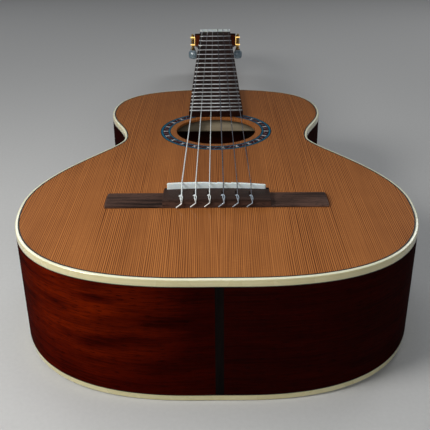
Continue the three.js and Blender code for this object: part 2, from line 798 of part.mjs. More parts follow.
function tunerPlate(side) {
  const outer = HEAD_HALF + PLATE_T;
  let solid = block(HEAD_HALF, outer, PLATE_Y0, PLATE_Y1, ROLLER_Z - PLATE_HALF_H, ROLLER_Z + PLATE_HALF_H);
  for (const y of ROLLER_YS) {
    const wormY = y - WORM_OFFSET;
    for (const z of [ROLLER_Z - LUG_Z, ROLLER_Z + LUG_Z]) {
      const y0 = wormY - LUG_HALF_W;
      const y1 = wormY + LUG_HALF_W;
      solid = solid.add(block(outer - 0.5, LUG_REACH, y0, y1, z - LUG_HALF_T, z + LUG_HALF_T));
    }
    const pinBore = [
      [HEAD_HALF - 1, PLATE_BORE_R],
      [outer + 1, PLATE_BORE_R],
    ];
    solid = solid.subtract(boreAlongZ(WORM_X, wormY, SHAFT_BORE_R));
    solid = solid.subtract(turnedAlongX(pinBore, y, ROLLER_Z, ROLLER_SIDES));
  }
  return placed(onSide(side, solid), HEAD_MATRIX);
}

function roller(side, y) {
  const profile = [
    [ROLLER_X0, ROLLER_R],
    [ROLLER_STEP_X, ROLLER_R],
    [ROLLER_STEP_X, ROLLER_PIN_R],
    [WORM_X - GEAR_T / 2, ROLLER_PIN_R],
  ];
  return placed(onSide(side, turnedAlongX(profile, y, ROLLER_Z, ROLLER_SIDES)), HEAD_MATRIX);
}

// Teeth are spaced so that a gap between two of them faces the worm.
function gear(side, y) {
  const step = (2 * Math.PI) / GEAR_TEETH;
  const corners = [
    [-0.26, GEAR_ROOT_R],
    [-0.11, GEAR_TIP_R],
    [0.11, GEAR_TIP_R],
    [0.26, GEAR_ROOT_R],
  ];
  const points = [];
  for (let k = 0; k < GEAR_TEETH; k++) {
    for (const [share, r] of corners) {
      const angle = Math.PI + (k + 0.5 + share) * step;
      points.push(new THREE.Vector2(y + r * Math.cos(angle), ROLLER_Z + r * Math.sin(angle)));
    }
  }
  const solid = extrudedAcross(new THREE.Shape(points), WORM_X - GEAR_T / 2, WORM_X + GEAR_T / 2);
  return placed(onSide(side, solid), HEAD_MATRIX);
}

function threadHeight(z, angle) {
  const turns = z / WORM_PITCH - angle / (2 * Math.PI);
  const phase = Math.abs(turns - Math.round(turns));
  const crest = 0.06;
  const foot = 0.25;
  return THREE.MathUtils.clamp((foot - phase) / (foot - crest), 0, 1);
}

// The angle is counted from the direction of the gear, about the axis that points out of the head.
function wormRing(side, y, z, radius) {
  return Array.from({ length: WORM_SIDES }, (_, i) => {
    const angle = (2 * Math.PI * i) / WORM_SIDES;
    const r = radius(angle);
    return new THREE.Vector3(side * WORM_X - r * Math.sin(angle), y + r * Math.cos(angle), ROLLER_Z + z);
  });
}

function wormShaft(side, y) {
  const rowsPerTurn = 4;
  const rows = rowsPerTurn * WORM_TURNS;
  const plain = () => SHAFT_R;
  const threadHalf = (WORM_TURNS * WORM_PITCH) / 2;
  const end = BUTTON_TOP + TILTED_GAP - ROLLER_Z;
  const rings = [
    wormRing(side, y, end, () => COLLAR_R),
    wormRing(side, y, end + 0.25 * COLLAR_LEN, () => 0.85 * COLLAR_R),
    wormRing(side, y, end + COLLAR_LEN, plain),
    wormRing(side, y, -threadHalf - 0.3, plain),
  ];
  for (let i = 0; i <= rows; i++) {
    const z = -threadHalf + (i * WORM_PITCH) / rowsPerTurn;
    const fade = i === 0 || i === rows ? 0 : 1;
    const radius = (angle) => WORM_ROOT_R + fade * (WORM_TIP_R - WORM_ROOT_R) * threadHeight(z, angle);
    rings.push(wormRing(side, y, z, radius));
  }
  rings.push(wormRing(side, y, threadHalf + 0.3, plain));
  rings.push(wormRing(side, y, SHAFT_TOP - 2 * KNOB_R, plain));
  rings.push(wormRing(side, y, SHAFT_TOP - 1.4 * KNOB_R, () => KNOB_R));
  rings.push(wormRing(side, y, SHAFT_TOP - 0.6 * KNOB_R, () => KNOB_R));
  rings.push(wormRing(side, y, SHAFT_TOP, () => 0.4 * KNOB_R));
  return placed(lofted(rings), HEAD_MATRIX);
}

// The buttons rest with their broad faces towards the tail, each turned a little differently.
function button(side, y, turn) {
  const sides = 10;
  const profile = [
    [0, 0.55],
    [0.12, 0.86],
    [0.35, 1],
    [0.65, 1],
    [0.88, 0.78],
    [1, 0.4],
  ];
  const rings = profile.map(([t, width]) =>
    Array.from({ length: sides }, (_, i) => {
      const angle = (2 * Math.PI * i) / sides;
      const broad = BUTTON_HALF_W * width * Math.cos(angle);
      const thick = BUTTON_HALF_T * width * Math.sin(angle);
      const x = side * WORM_X + broad * Math.cos(turn) - thick * Math.sin(turn);
      const along = y + broad * Math.sin(turn) + thick * Math.cos(turn);
      return new THREE.Vector3(x, along, BUTTON_TOP - t * BUTTON_LEN);
    }),
  );
  return placed(lofted(rings), HEAD_MATRIX);
}

// Assembly

const guitar = new THREE.Group();
guitar.name = "classical_guitar";

function addPiece(name, solid, look) {
  const mesh = new THREE.Mesh(toGeometry(solid), look);
  mesh.name = name;
  guitar.add(mesh);
}

function addPair(name, make, look) {
  addPiece(`${name}_bass`, make(-1), look());
  addPiece(`${name}_treble`, make(1), look());
}

addPiece("soundboard", soundboard(), cedar());
addPiece("rosette", rosette(), mosaic());
addPiece("back_plate", backPlate(), mahogany());
addPiece("top_binding", topBinding(), cream());
addPiece("back_binding", backBinding(), cream());
addPair("side", side, mahogany);
addPair("top_lining", (s) => onSide(s, topLining()), spruce);
addPair("back_lining", (s) => onSide(s, backLining()), spruce);
addPiece("tail_graft", tailGraft(), ebony());
addPiece("tail_block", tailBlock(), spruce());
addPiece("neck_block", neckBlock(), neckWood());
addPiece("upper_harmonic_bar", harmonicBar(HARMONIC_YS[0]), spruce());
addPiece("lower_harmonic_bar", harmonicBar(HARMONIC_YS[1]), spruce());
addPiece("fan_bracing", fanBracing(), spruce());
BACK_BRACE_YS.forEach((y, i) => addPiece(`back_brace_${i + 1}`, backBrace(y), spruce()));
addPiece("neck", neck(), neckWood());
addPiece("heel_cap", heelCap(), rosewood());
addPiece("head_veneer", headVeneer(), rosewood());
addPiece("fingerboard", fingerboard(), rosewood());
addPiece("frets", fretSet(), nickel());
addPiece("nut", nut(), bone());
addPiece("bridge", bridge(), rosewood());
addPiece("saddle", saddle(), bone());
for (let n = 1; n <= STRING_R.length; n++) {
  addPiece(`string_${n}`, string(n), n <= 3 ? nylon() : woundSilver());
}
addPair("tuner_plate", tunerPlate, brass);
ROLLER_YS.forEach((y, i) => {
  const number = i + 1;
  addPair(`roller_${number}`, (s) => roller(s, y), rollerWhite);
  addPair(`gear_${number}`, (s) => gear(s, y), brass);
  addPair(`worm_shaft_${number}`, (s) => wormShaft(s, y - WORM_OFFSET), brass);
  addPair(`button_${number}`, (s) => button(s, y - WORM_OFFSET, s * BUTTON_TURNS[i]), pearl);
});

export default guitar;
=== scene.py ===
"""Classical guitar: the looks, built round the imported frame.

Metres, +Y from the tail to the head, +Z out of the soundboard, +X to the treble side.
"""
import json
import math

import bmesh
import bpy
import numpy as np
from mathutils import Matrix, Vector


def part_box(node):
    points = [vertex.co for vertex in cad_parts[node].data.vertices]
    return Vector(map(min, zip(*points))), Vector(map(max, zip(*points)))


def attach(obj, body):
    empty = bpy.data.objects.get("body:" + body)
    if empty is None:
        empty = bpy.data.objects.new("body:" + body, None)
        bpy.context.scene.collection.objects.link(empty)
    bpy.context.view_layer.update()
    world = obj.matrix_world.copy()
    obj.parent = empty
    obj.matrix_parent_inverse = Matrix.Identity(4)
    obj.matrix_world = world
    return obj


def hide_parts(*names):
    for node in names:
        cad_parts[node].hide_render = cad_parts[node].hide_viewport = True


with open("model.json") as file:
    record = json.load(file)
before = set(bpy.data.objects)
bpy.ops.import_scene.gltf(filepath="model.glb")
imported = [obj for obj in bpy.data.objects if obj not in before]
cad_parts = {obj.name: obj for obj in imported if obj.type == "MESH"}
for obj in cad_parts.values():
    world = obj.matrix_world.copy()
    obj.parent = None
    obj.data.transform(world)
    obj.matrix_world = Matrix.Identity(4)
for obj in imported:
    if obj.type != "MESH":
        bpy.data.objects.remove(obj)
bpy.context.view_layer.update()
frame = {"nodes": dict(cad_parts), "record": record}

MM = 0.001
NEAR = 1e-5
BODY = "instrument"
SIDES = (("bass", -1), ("treble", 1))


# Sizes read from the frame

def node_points(name):
    """The vertices of a CAD node, each place once."""
    points = np.array([v.co[:] for v in frame["nodes"][name].data.vertices])
    return np.unique(points.round(6), axis=0)


def joint(name):
    return next(j for j in frame["record"]["behaviour"]["joints"] if j["name"] == name)


TOP_LO, TOP_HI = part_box("soundboard")
BINDING_LO, BINDING_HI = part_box("top_binding")
ROSETTE_LO, ROSETTE_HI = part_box("rosette")
GRAFT_LO, GRAFT_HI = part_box("tail_graft")
BOARD_LO, BOARD_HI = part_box("fingerboard")
NUT_LO, NUT_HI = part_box("nut")
BRIDGE_LO, BRIDGE_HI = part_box("bridge")
SADDLE_LO, SADDLE_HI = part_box("saddle")

TOP = TOP_HI.z
RIM_T = BINDING_HI.x - TOP_HI.x
SEAM_X = (GRAFT_LO.x + GRAFT_HI.x) / 2
LOWER_HALF = BINDING_HI.x
TOP_BINDING_Z = BINDING_LO.z
NECK_END_Y = BINDING_HI.y
HOLE = np.array([0.0, (ROSETTE_LO.y + ROSETTE_HI.y) / 2])
HOLE_R = np.hypot(*(node_points("soundboard")[:, :2] - HOLE).T).min()
ROSETTE_R1 = ROSETTE_HI.x
ROSETTE_R0 = np.hypot(*(node_points("rosette")[:, :2] - HOLE).T).min()
NUT_HALF = NUT_HI.x
SCALE = NUT_LO.y
HEEL_CAP_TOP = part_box("heel_cap")[1].z
BRIDGE_H = BRIDGE_HI.z - BRIDGE_LO.z
ROSETTE_FLOOR = TOP - (ROSETTE_HI.z - ROSETTE_LO.z)

back_points = node_points("back_plate")
BACK_CROWN_HALF = np.abs(back_points[back_points[:, 2] < NEAR][:, 0]).max()
BACK_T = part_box("back_brace_1")[0].z
BACK_BINDING_H = 5 * MM
BACK_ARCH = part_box("back_binding")[1].z - BACK_BINDING_H

# The head is tilted back behind the nut. Head coordinates: x across, y along it, z out of its face.
tuner_axis = joint("turn_worm_1_bass")["axis"]
tilt = math.atan2(tuner_axis[1], tuner_axis[2])
HEAD = Matrix.Translation((0, NUT_HI.y, TOP)) @ Matrix.Rotation(-tilt, 4, "X")


def to_head(point):
    return HEAD.inverted() @ Vector(point)


# Shapes: a part is (verts, faces)

def skin(rings, closed=False):
    """Skins rings of equal point count; the ends are capped unless the rings close on themselves."""
    rows, columns = len(rings), len(rings[0])
    faces = []
    for i in range(rows if closed else rows - 1):
        here, there = i * columns, (i + 1) % rows * columns
        for j in range(columns):
            k = (j + 1) % columns
            faces.append((here + j, here + k, there + k, there + j))
    if not closed:
        faces += [tuple(range(columns)), tuple(range((rows - 1) * columns, rows * columns))]
    return [Vector(v) for ring in rings for v in ring], faces


def arc(sweep, steps, start=0.0):
    """Evenly spaced values from start, both ends included."""
    return [start + sweep * k / steps for k in range(steps + 1)]


def circle(sides):
    return arc(2 * math.pi, sides)[:-1]


def tube(path, radius, sides):
    """A round bar along a path."""
    path = np.asarray(path, dtype=float)
    along = np.gradient(path, axis=0)
    along /= np.linalg.norm(along, axis=1)[:, None]
    up = np.array([1.0, 0.0, 0.0]) if abs(along[0][0]) < 0.9 else np.array([0.0, 0.0, 1.0])
    rings = []
    for point, direction in zip(path, along):
        up = up - direction * up.dot(direction)
        up /= np.linalg.norm(up)
        across = np.cross(direction, up)
        rings.append([point + radius * (math.cos(a) * up + math.sin(a) * across) for a in circle(sides)])
    return skin(rings)


def catmull_rom(p, steps):
    """A curve through the points of p, but for the first and the last two, which only steer it."""
    out = []
    for a, b, c, d in zip(p, p[1:], p[2:], p[3:]):
        for t in np.arange(steps) / steps:
            bend = (2 * a - 5 * b + 4 * c - d) * t**2 + (3 * b - a - 3 * c + d) * t**3
            out.append(0.5 * (2 * b + (c - a) * t + bend))
    return np.array(out)


def smooth_path(points, steps):
    """An open curve through the points."""
    p = np.asarray(points, dtype=float)
    p = np.vstack([2 * p[0] - p[1], p, 2 * p[-1] - p[-2]])
    return np.vstack([catmull_rom(p, steps), p[-2]])


def smooth_ring(points, steps):
    """A closed curve through the points."""
    return catmull_rom(np.vstack([points[-1:], points, points[:2]]), steps)


def bezier(a, b, c, d, steps):
    out = []
    for t in arc(1.0, steps):
        weights = ((1 - t) ** 3, 3 * t * (1 - t) ** 2, 3 * t * t * (1 - t), t**3)
        out.append(tuple(sum(w * p[i] for w, p in zip(weights, (a, b, c, d))) for i in (0, 1)))
    return out


def ease(t):
    t = min(max(t, 0.0), 1.0)
    return t * t * (3 - 2 * t)


def box_part(low, high):
    rings = [[(low[0], low[1], z), (high[0], low[1], z), (high[0], high[1], z), (low[0], high[1], z)]
             for z in (low[2], high[2])]
    return skin(rings)


def turned_part(profile, centre, axis, sides=40):
    """A solid turned about an axis; profile is a list of (distance along, radius)."""
    axis = Vector(axis).normalized()
    side = axis.orthogonal().normalized()
    other = axis.cross(side)
    rings = []
    for along, r in profile:
        middle = Vector(centre) + axis * along
        rings.append([middle + (side * math.cos(a) + other * math.sin(a)) * r for a in circle(sides)])
    return skin(rings)


def in_mm(points):
    return [(a * MM, b * MM) for a, b in points]


def mirrored(right):
    """Stations for both sides from those of the right side, which start nearest the middle."""
    return [(-x, *rest) for x, *rest in reversed(right)] + right


def flat_part(border, holes, z0, z1):
    """A flat piece with straight walls; border and holes are lists of (x, y)."""
    bm = bmesh.new()
    edges = []
    for loop in [border, *holes]:
        verts = [bm.verts.new((x, y, z0)) for x, y in loop]
        edges += [bm.edges.new((verts[i - 1], verts[i])) for i in range(len(verts))]
    bmesh.ops.triangle_fill(bm, use_beauty=True, use_dissolve=False, edges=edges)
    lifted = bmesh.ops.extrude_face_region(bm, geom=bm.faces[:])
    moved = [g for g in lifted["geom"] if isinstance(g, bmesh.types.BMVert)]
    bmesh.ops.translate(bm, verts=moved, vec=(0, 0, z1 - z0))
    bm.verts.index_update()
    part = [v.co.copy() for v in bm.verts], [tuple(v.index for v in f.verts) for f in bm.faces]
    bm.free()
    return part


def placed(part, matrix):
    verts, faces = part
    return [matrix @ v for v in verts], faces


# Pieces

def new_object(name, parts):
    """One object from several parts, with its normals facing out."""
    verts, faces = [], []
    for part_verts, part_faces in parts:
        faces += [tuple(i + len(verts) for i in face) for face in part_faces]
        verts += part_verts
    mesh = bpy.data.meshes.new(name)
    mesh.from_pydata([tuple(v) for v in verts], [], faces)
    mesh.validate()
    bm = bmesh.new()
    bm.from_mesh(mesh)
    bmesh.ops.recalc_face_normals(bm, faces=bm.faces)
    bm.to_mesh(mesh)
    bm.free()
    obj = bpy.data.objects.new(name, mesh)
    bpy.context.scene.collection.objects.link(obj)
    return obj


def add_piece(name, parts, look, body=BODY, node=None, crease=35, uvs=None, spare=None):
    """A smooth-shaded piece that rides on a body.

    node is the CAD node it stands for, uvs holds one (u, v) per vertex, and spare is a second look.
    """
    obj = new_object(name, parts)
    mesh = obj.data
    if uvs is not None:
        layer = mesh.uv_layers.new(name="along")
        corners = np.empty(len(mesh.loops), dtype=np.int32)
        mesh.loops.foreach_get("vertex_index", corners)
        layer.data.foreach_set("uv", np.asarray(uvs, dtype=np.float32)[corners].ravel())
    material, slot = LOOKS[look]
    mesh.materials.append(material)
    if spare:
        mesh.materials.append(LOOKS[spare][0])
    smooth(mesh, crease)
    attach(obj, body)
    if node:
        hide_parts(node)
    return obj


def smooth(mesh, crease=35):
    mesh.shade_smooth()
    mesh.set_sharp_from_angle(angle=math.radians(crease))


def add_bevel(obj, width, segments=3):
    bevel = obj.modifiers.new("edge", "BEVEL")
    bevel.width = width
    bevel.segments = segments
    bevel.limit_method = "ANGLE"
    bevel.angle_limit = math.radians(35)
    bevel.harden_normals = True


def cut_with(obj, parts):
    """Cuts each part out of the object and keeps the result as its mesh."""
    for part in parts:
        cutter = new_object("cutter", [part])
        cut = obj.modifiers.new("cut", "BOOLEAN")
        cut.operation = "DIFFERENCE"
        cut.solver = "EXACT"
        cut.object = cutter
        bpy.context.view_layer.update()
        evaluated = obj.evaluated_get(bpy.context.evaluated_depsgraph_get())
        result = bpy.data.meshes.new_from_object(evaluated)
        obj.modifiers.remove(cut)
        bpy.data.objects.remove(cutter)
        obj.data = result
    smooth(obj.data)


def dress(node, look, bevel):
    """Gives a CAD node its look, with its flat faces merged and its edges rounded."""
    obj = frame["nodes"][node]
    obj.data.materials.clear()
    obj.data.materials.append(LOOKS[look][0])
    weld = obj.modifiers.new("weld", "WELD")
    weld.merge_threshold = 1e-6
    planar = obj.modifiers.new("flat", "DECIMATE")
    planar.decimate_type = "DISSOLVE"
    planar.angle_limit = math.radians(1)
    add_bevel(obj, bevel, segments=2)


# Materials

def operator(operation, swapped=False):
    """A method that adds a Math node."""
    def apply(a, b=0.0):
        return a.graph.math(operation, b, a) if swapped else a.graph.math(operation, a, b)
    return apply


class Field:
    """A value that varies over a surface. Arithmetic on it adds nodes to its graph."""

    __add__ = operator("ADD")
    __sub__ = operator("SUBTRACT")
    __rsub__ = operator("SUBTRACT", swapped=True)
    __mul__ = operator("MULTIPLY")
    __truediv__ = operator("DIVIDE")
    __lt__ = operator("LESS_THAN")
    __gt__ = operator("GREATER_THAN")
    __abs__ = operator("ABSOLUTE")

    def __init__(self, graph, socket):
        self.graph = graph
        self.socket = socket


class Graph:
    """Builds a material. Any input may be a number, a colour or a Field."""

    INPUTS = {
        "color": "Base Color", "roughness": "Roughness", "metallic": "Metallic", "normal": "Normal",
        "specular": "Specular IOR Level", "coat": "Coat Weight", "coat_roughness": "Coat Roughness",
        "subsurface": "Subsurface Weight", "radius": "Subsurface Radius", "scale": "Subsurface Scale",
        "transmission": "Transmission Weight", "ior": "IOR",
    }

    def __init__(self, name):
        self.material = bpy.data.materials.new(name)
        self.material.use_nodes = True
        self.tree = self.material.node_tree

    def node(self, kind, inputs, out=0, **settings):
        node = self.tree.nodes.new(kind)
        for key, value in settings.items():
            setattr(node, key, value)
        self.fill(node, inputs)
        return Field(self, node.outputs[out])

    def fill(self, node, inputs):
        for key, value in inputs.items():
            socket = node.inputs[key]
            if isinstance(value, Field):
                self.tree.links.new(value.socket, socket)
            elif socket.type == "RGBA":
                socket.default_value = (*value, 1.0)
            else:
                socket.default_value = value

    def axes(self, source="Object"):
        """The x, y and z of a place on the object, or its u and v."""
        coordinates = self.node("ShaderNodeTexCoord", {}, out=source)
        split = self.node("ShaderNodeSeparateXYZ", {0: coordinates}).socket.node
        return [Field(self, output) for output in split.outputs]

    def math(self, operation, a, b=0.0):
        return self.node("ShaderNodeMath", {0: a, 1: b}, operation=operation)

    def noise(self, x, y, z, scale=1.0, detail=2.0, roughness=0.5, distortion=0.0):
        place = self.node("ShaderNodeCombineXYZ", {0: x, 1: y, 2: z})
        inputs = {"Vector": place, "Scale": scale, "Detail": detail, "Roughness": roughness,
                  "Distortion": distortion}
        return self.node("ShaderNodeTexNoise", inputs, out="Fac")

    def ramp(self, value, low=0.3, high=0.7, to_low=0.0, to_high=1.0):
        inputs = {"Value": value, "From Min": low, "From Max": high, "To Min": to_low, "To Max": to_high}
        return self.node("ShaderNodeMapRange", inputs, clamp=True)

    def spread(self, noise, low, high):
        """Stretches a noise over a range."""
        return self.ramp(noise, to_low=low, to_high=high)

    def clamp(self, value):
        return self.ramp(value, 0.0, 1.0)

    def blend(self, factor, a, b, mode="MIX"):
        return self.node("ShaderNodeMix", {0: factor, 6: a, 7: b}, out=2, data_type="RGBA", blend_type=mode)

    def bump(self, height, depth, strength=1.0):
        inputs = {"Height": height, "Distance": depth * MM, "Strength": strength}
        return self.node("ShaderNodeBump", inputs, out="Normal")

    def finish(self, color, rough, relief, **inputs):
        """rough holds (noise, low, high), and relief (height, depth in millimetres)."""
        inputs |= {"color": color, "roughness": self.spread(*rough), "normal": self.bump(*relief)}
        self.fill(self.tree.nodes["Principled BSDF"], {self.INPUTS[key]: inputs[key] for key in inputs})
        return self.material


def new_graph(name):
    """A graph and the x, y and z of a place on the object."""
    g = Graph(name)
    return g, *g.axes()


def wood(name, dark, light, grain="XYZ", uv=False, mirror=False, ring=1.2, streak=60, wobble=0.6, figure=0.35,
         pores=0.0, pore_color=(0.0, 0.0, 0.0), pore_size=0.28, shades=(), glow=None,
         roughness=0.4, relief=0.02, specular=0.5, gloss=0.0):
    """Straight-grained wood.

    grain names the axes across, along and through the grain. ring is the spacing of the fine lines in
    millimetres and streak how many rings long a line stays the same. Each of shades holds (direction,
    start, end, share): the wood darkens to that share of its brightness between the two places.
    A painted glow, if given, holds (along, across, reach, tint) of a patch of painted light over the figure's
    bands.
    """
    g = Graph(name)
    axes = dict(zip("XYZ", g.axes("UV" if uv else "Object")))
    across, along, through = (axes[letter] for letter in grain)
    if mirror:
        across = abs(across - SEAM_X)
    bend = g.noise(across * 6, along * 5, through, detail=1)
    across = across + (bend - 0.5) * (wobble * 10 * MM)
    size = ring * MM
    lines = across / size
    runs = along / (size * streak)
    layers = through / (size * 4)
    fine = g.noise(lines, runs, layers, detail=3, roughness=0.65)
    bands = g.noise(lines * 0.11, runs * 0.5, layers)
    broad = g.noise(lines * 0.02, runs * 0.3, layers)
    mix = g.ramp(fine, 0.36, 0.64) * 0.5 + g.ramp(bands) * figure
    mix = g.clamp(mix + g.ramp(broad) * (0.5 - figure / 2))
    # Darkening along one direction; on the bass rib it is painted shade.
    for direction, start, end, share in shades:
        place = {"along": along, "through": through}[direction]
        mix = mix * g.ramp(place, start, end, 1.0, share)
    base = g.blend(mix, dark, light)
    # Painted light: a brighter patch laid over the figure's bands.
    if glow:
        centre_along, centre_across, reach, tint = glow
        du = along - centre_along
        dv = (across - centre_across) * 1.3
        away = g.math("SQRT", du * du + dv * dv)
        painted_spot = g.ramp(away, 0.0, reach, 1.0, 0.0) * g.ramp(bands, 0.38, 0.60, 0.10, 1.0)
        base = g.blend(painted_spot * g.ramp(fine, 0.36, 0.6, 0.5, 1.0), base, tint)
    height = fine
    if pores:
        width = pore_size * MM
        spots = g.noise(across / width, along / (18 * width), through / (0.5 * MM), detail=1)
        mask = g.ramp(spots, 0.60, 0.66)
        base = g.blend(mask * pores, base, pore_color)
        height = fine - mask * 2.0
    wear = g.noise(across, along, through, scale=18, detail=3)
    rough = (wear * 0.7 + fine * 0.3, roughness * 0.85, roughness * 1.2)
    return g.finish(base, rough, (height, relief), specular=specular, coat=gloss, coat_roughness=0.06)


def cedar():
    """Quarter-sawn cedar under thin lacquer: year lines mirrored about the seam, with silky cross marks,
    and painted shade that darkens the ground towards the neck, where the key light falls off."""
    g, x, along, _ = new_graph("cedar")
    across = abs(x - SEAM_X)
    bend = g.noise(across * 9, along * 1.6, 0.0, detail=1)
    jitter = g.noise(across / (4 * MM), along * 0.7, 5.0)
    years = (across + bend * (9 * MM) + jitter * (2.6 * MM)) / (1.45 * MM)
    late = g.ramp(g.math("SINE", years * (2 * math.pi)), -0.6, 0.8)
    each_year = g.noise(g.math("FLOOR", years), along * 1.2, 0.0, scale=0.37, detail=3, roughness=0.8)
    fine = g.noise(across / (0.35 * MM), along / (60 * MM), 0.0)
    broad = g.noise(across / (30 * MM), along / (400 * MM), 0.0)
    calm = g.noise(x / (24 * MM), along / (300 * MM), 3.0, detail=1)
    silk = g.noise(x / (5 * MM), along / (0.9 * MM), 0.0)
    patch = g.noise(x / (40 * MM), along / (30 * MM), 0.0, detail=1)
    strength = g.spread(each_year, 0.5, 2.3) * g.ramp(across, 10 * MM, 60 * MM, 0.7, 1.0)
    strength = strength * g.ramp(calm, 0.38, 0.58, 0.35, 1.15)
    mix = g.spread(broad, 0.44, 0.66) - (late - 0.5) * strength * 0.62
    mix = mix + (fine - 0.5) * 0.6
    mix = g.clamp(mix + g.ramp(silk, 0.45, 0.7) * g.ramp(patch, 0.4, 0.65) * 0.16)
    base = g.blend(mix, (0.110, 0.025, 0.005), (0.50, 0.185, 0.051))
    # Painted shade: the ground darkens towards the neck, standing in for the key light's falloff.
    base = g.blend(1.0, base, g.ramp(along, 0.02, 0.36, 1.0, 0.70), mode="MULTIPLY")
    return g.finish(base, (fine, 0.42, 0.52), (fine - late, 0.01), specular=0.05, coat=0.25,
                    coat_roughness=0.12)


def spruce():
    return wood("spruce", (0.27, 0.20, 0.12), (0.44, 0.37, 0.25), grain="YXZ", ring=1.4, streak=90,
                wobble=0.2, figure=0.3, roughness=0.75)


def mahogany(name, dark, light, pore_color, **options):
    """Polished mahogany."""
    return wood(name, dark, light, ring=1.5, pores=0.8, pore_color=pore_color, relief=0.004, specular=0.0,
                **options)


def mahogany_bass():
    """The rib that the key light falls on: a patch of painted light glows over its figure,
    and painted shade darkens it next to the graft and where it turns away towards the neck.
    """
    return mahogany("mahogany_bass", (0.004, 0.0002, 0.0001), (0.064, 0.0026, 0.0002),
                    (0.006, 0.0004, 0.0003), grain="YXZ", uv=True, streak=24, wobble=1.4, figure=0.6,
                    pore_size=0.5, roughness=0.22, gloss=0.02,
                    # Painted shade next to the graft and where the rib turns away towards the neck.
                    shades=(("along", -120 * MM, -20 * MM, 0.42), ("along", -140 * MM, -210 * MM, 0.2)),
                    # Painted light: a glowing patch over the figure.
                    glow=(-100 * MM, 70 * MM, 85 * MM, (0.135, 0.0098, 0.0004)))


def mahogany_treble():
    """The other rib is cut from a darker, plainer part of the board."""
    return mahogany("mahogany_treble", (0.006, 0.0002, 0.0001), (0.026, 0.0012, 0.0003),
                    (0.005, 0.0003, 0.0002), grain="YXZ", uv=True, streak=30, wobble=0.7, figure=0.4,
                    pore_size=0.5, roughness=0.22, gloss=0.03)


def mahogany_back():
    return mahogany("mahogany_back", (0.014, 0.0010, 0.0005), (0.105, 0.0105, 0.0025),
                    (0.006, 0.0005, 0.0004), mirror=True, streak=34, wobble=0.9, figure=0.6,
                    roughness=0.24, gloss=0.2)


def mahogany_inside():
    return wood("mahogany_bare", (0.10, 0.040, 0.020), (0.20, 0.09, 0.045), ring=1.5, streak=40, figure=0.4,
                pores=0.6, pore_color=(0.05, 0.02, 0.01), roughness=0.8, relief=0.03)


def neck_wood():
    return wood("neck_wood", (0.045, 0.0070, 0.0022), (0.105, 0.020, 0.0062), ring=1.3, figure=0.4, pores=0.7,
                pore_color=(0.016, 0.003, 0.0015), roughness=0.32, relief=0.012, specular=0.0, gloss=0.15)


def rosewood_across():
    """Bridge wood, darker on top of the tie block."""
    return wood("rosewood_across", (0.0035, 0.0016, 0.0013), (0.112, 0.060, 0.044), grain="YXZ", ring=1.9,
                streak=26, wobble=0.5, figure=0.9, pores=0.8, pore_color=(0.005, 0.003, 0.0026),
                roughness=0.5, relief=0.03, specular=0.12,
                shades=(("through", TOP + 3.5 * MM, TOP + 6 * MM, 0.38),))


def rosewood_along():
    return wood("rosewood_along", (0.005, 0.0020, 0.0014), (0.030, 0.0098, 0.0060), ring=1.1, figure=0.45,
                pores=0.8, pore_color=(0.004, 0.0025, 0.002), roughness=0.5, relief=0.03, specular=0.05)


def ebony():
    return wood("ebony", (0.0016, 0.0008, 0.0007), (0.006, 0.0035, 0.003), grain="XZY", ring=0.8, streak=30,
                figure=0.3, roughness=0.3, relief=0.01, specular=0.0, gloss=0.06)


def purfling():
    return wood("purfling_dark", (0.006, 0.004, 0.003), (0.02, 0.013, 0.010), ring=0.5, relief=0.01)


def ivoroid():
    """Cream binding: faint lines along the strip over an even ground, with a painted highlight on its top
    edge.
    """
    g, x, y, z = new_graph("binding_cream")
    lines = g.noise(x * 4, y * 4, z * 1800)
    cloud = g.noise(x, y, z, scale=28, detail=3)
    base = g.blend(g.ramp(lines * 0.5 + cloud * 0.5), (0.60, 0.52, 0.27), (0.72, 0.65, 0.38))
    # Painted highlight: the top edge is painted paler, where the light from above catches it.
    base = g.blend(g.ramp(z, TOP - 0.6 * MM, TOP - 0.15 * MM), base, (0.96, 0.95, 0.70))
    return g.finish(base, (cloud, 0.22, 0.34), (lines, 0.004), coat=1.0, coat_roughness=0.1,
                    subsurface=0.15, radius=(0.004, 0.003, 0.002), scale=0.5)


def rosette_mosaic():
    """Blue rings round a band of slanted dark red tiles and pale crosses, drawn in polar coordinates."""
    g, x, world_y, z = new_graph("rosette_mosaic")
    y = world_y - HOLE[1]
    across = g.ramp(g.math("SQRT", x * x + y * y), ROSETTE_R0, ROSETTE_R1)
    repeats = 23
    turns = g.math("ARCTAN2", y, x) * (repeats / (2 * math.pi))
    along = g.math("FRACT", turns + 0.3)
    from_cross = 0.5 - abs(along - 0.5)
    height = across - 0.47
    slanted = abs(along + height * 0.5 - 0.5)
    from_tile = abs(slanted - 0.145)
    arm = abs(from_cross - abs(height) * 0.42)
    tone = g.noise(x, world_y, z, scale=1400)
    band = g.blend(g.ramp(tone), (0.010, 0.008, 0.011), (0.050, 0.040, 0.045))
    figures = (
        (from_tile < 0.098, (0.085, 0.005, 0.004)),
        (from_tile < 0.050, (0.014, 0.002, 0.002)),
        (slanted < 0.014, (0.30, 0.25, 0.26)),
        ((arm < 0.042) * (from_cross < 0.16), (0.44, 0.39, 0.39)),
        (from_cross + abs(height) * 0.35 < 0.052, (0.50, 0.47, 0.45)),
    )
    for mask, tint in figures:
        band = g.blend(mask, band, tint)
    blue = g.blend(g.ramp(tone), (0.001, 0.060, 0.120), (0.002, 0.160, 0.270))
    black = (0.004, 0.004, 0.007)
    rings = ((0.06, blue), (0.19, black), (0.24, band), (0.70, black), (0.77, blue), (0.93, black))
    base = black
    for start, tint in rings:
        base = g.blend(across > start, base, tint)
    return g.finish(base, (tone, 0.34, 0.5), (tone, 0.006), specular=0.1)


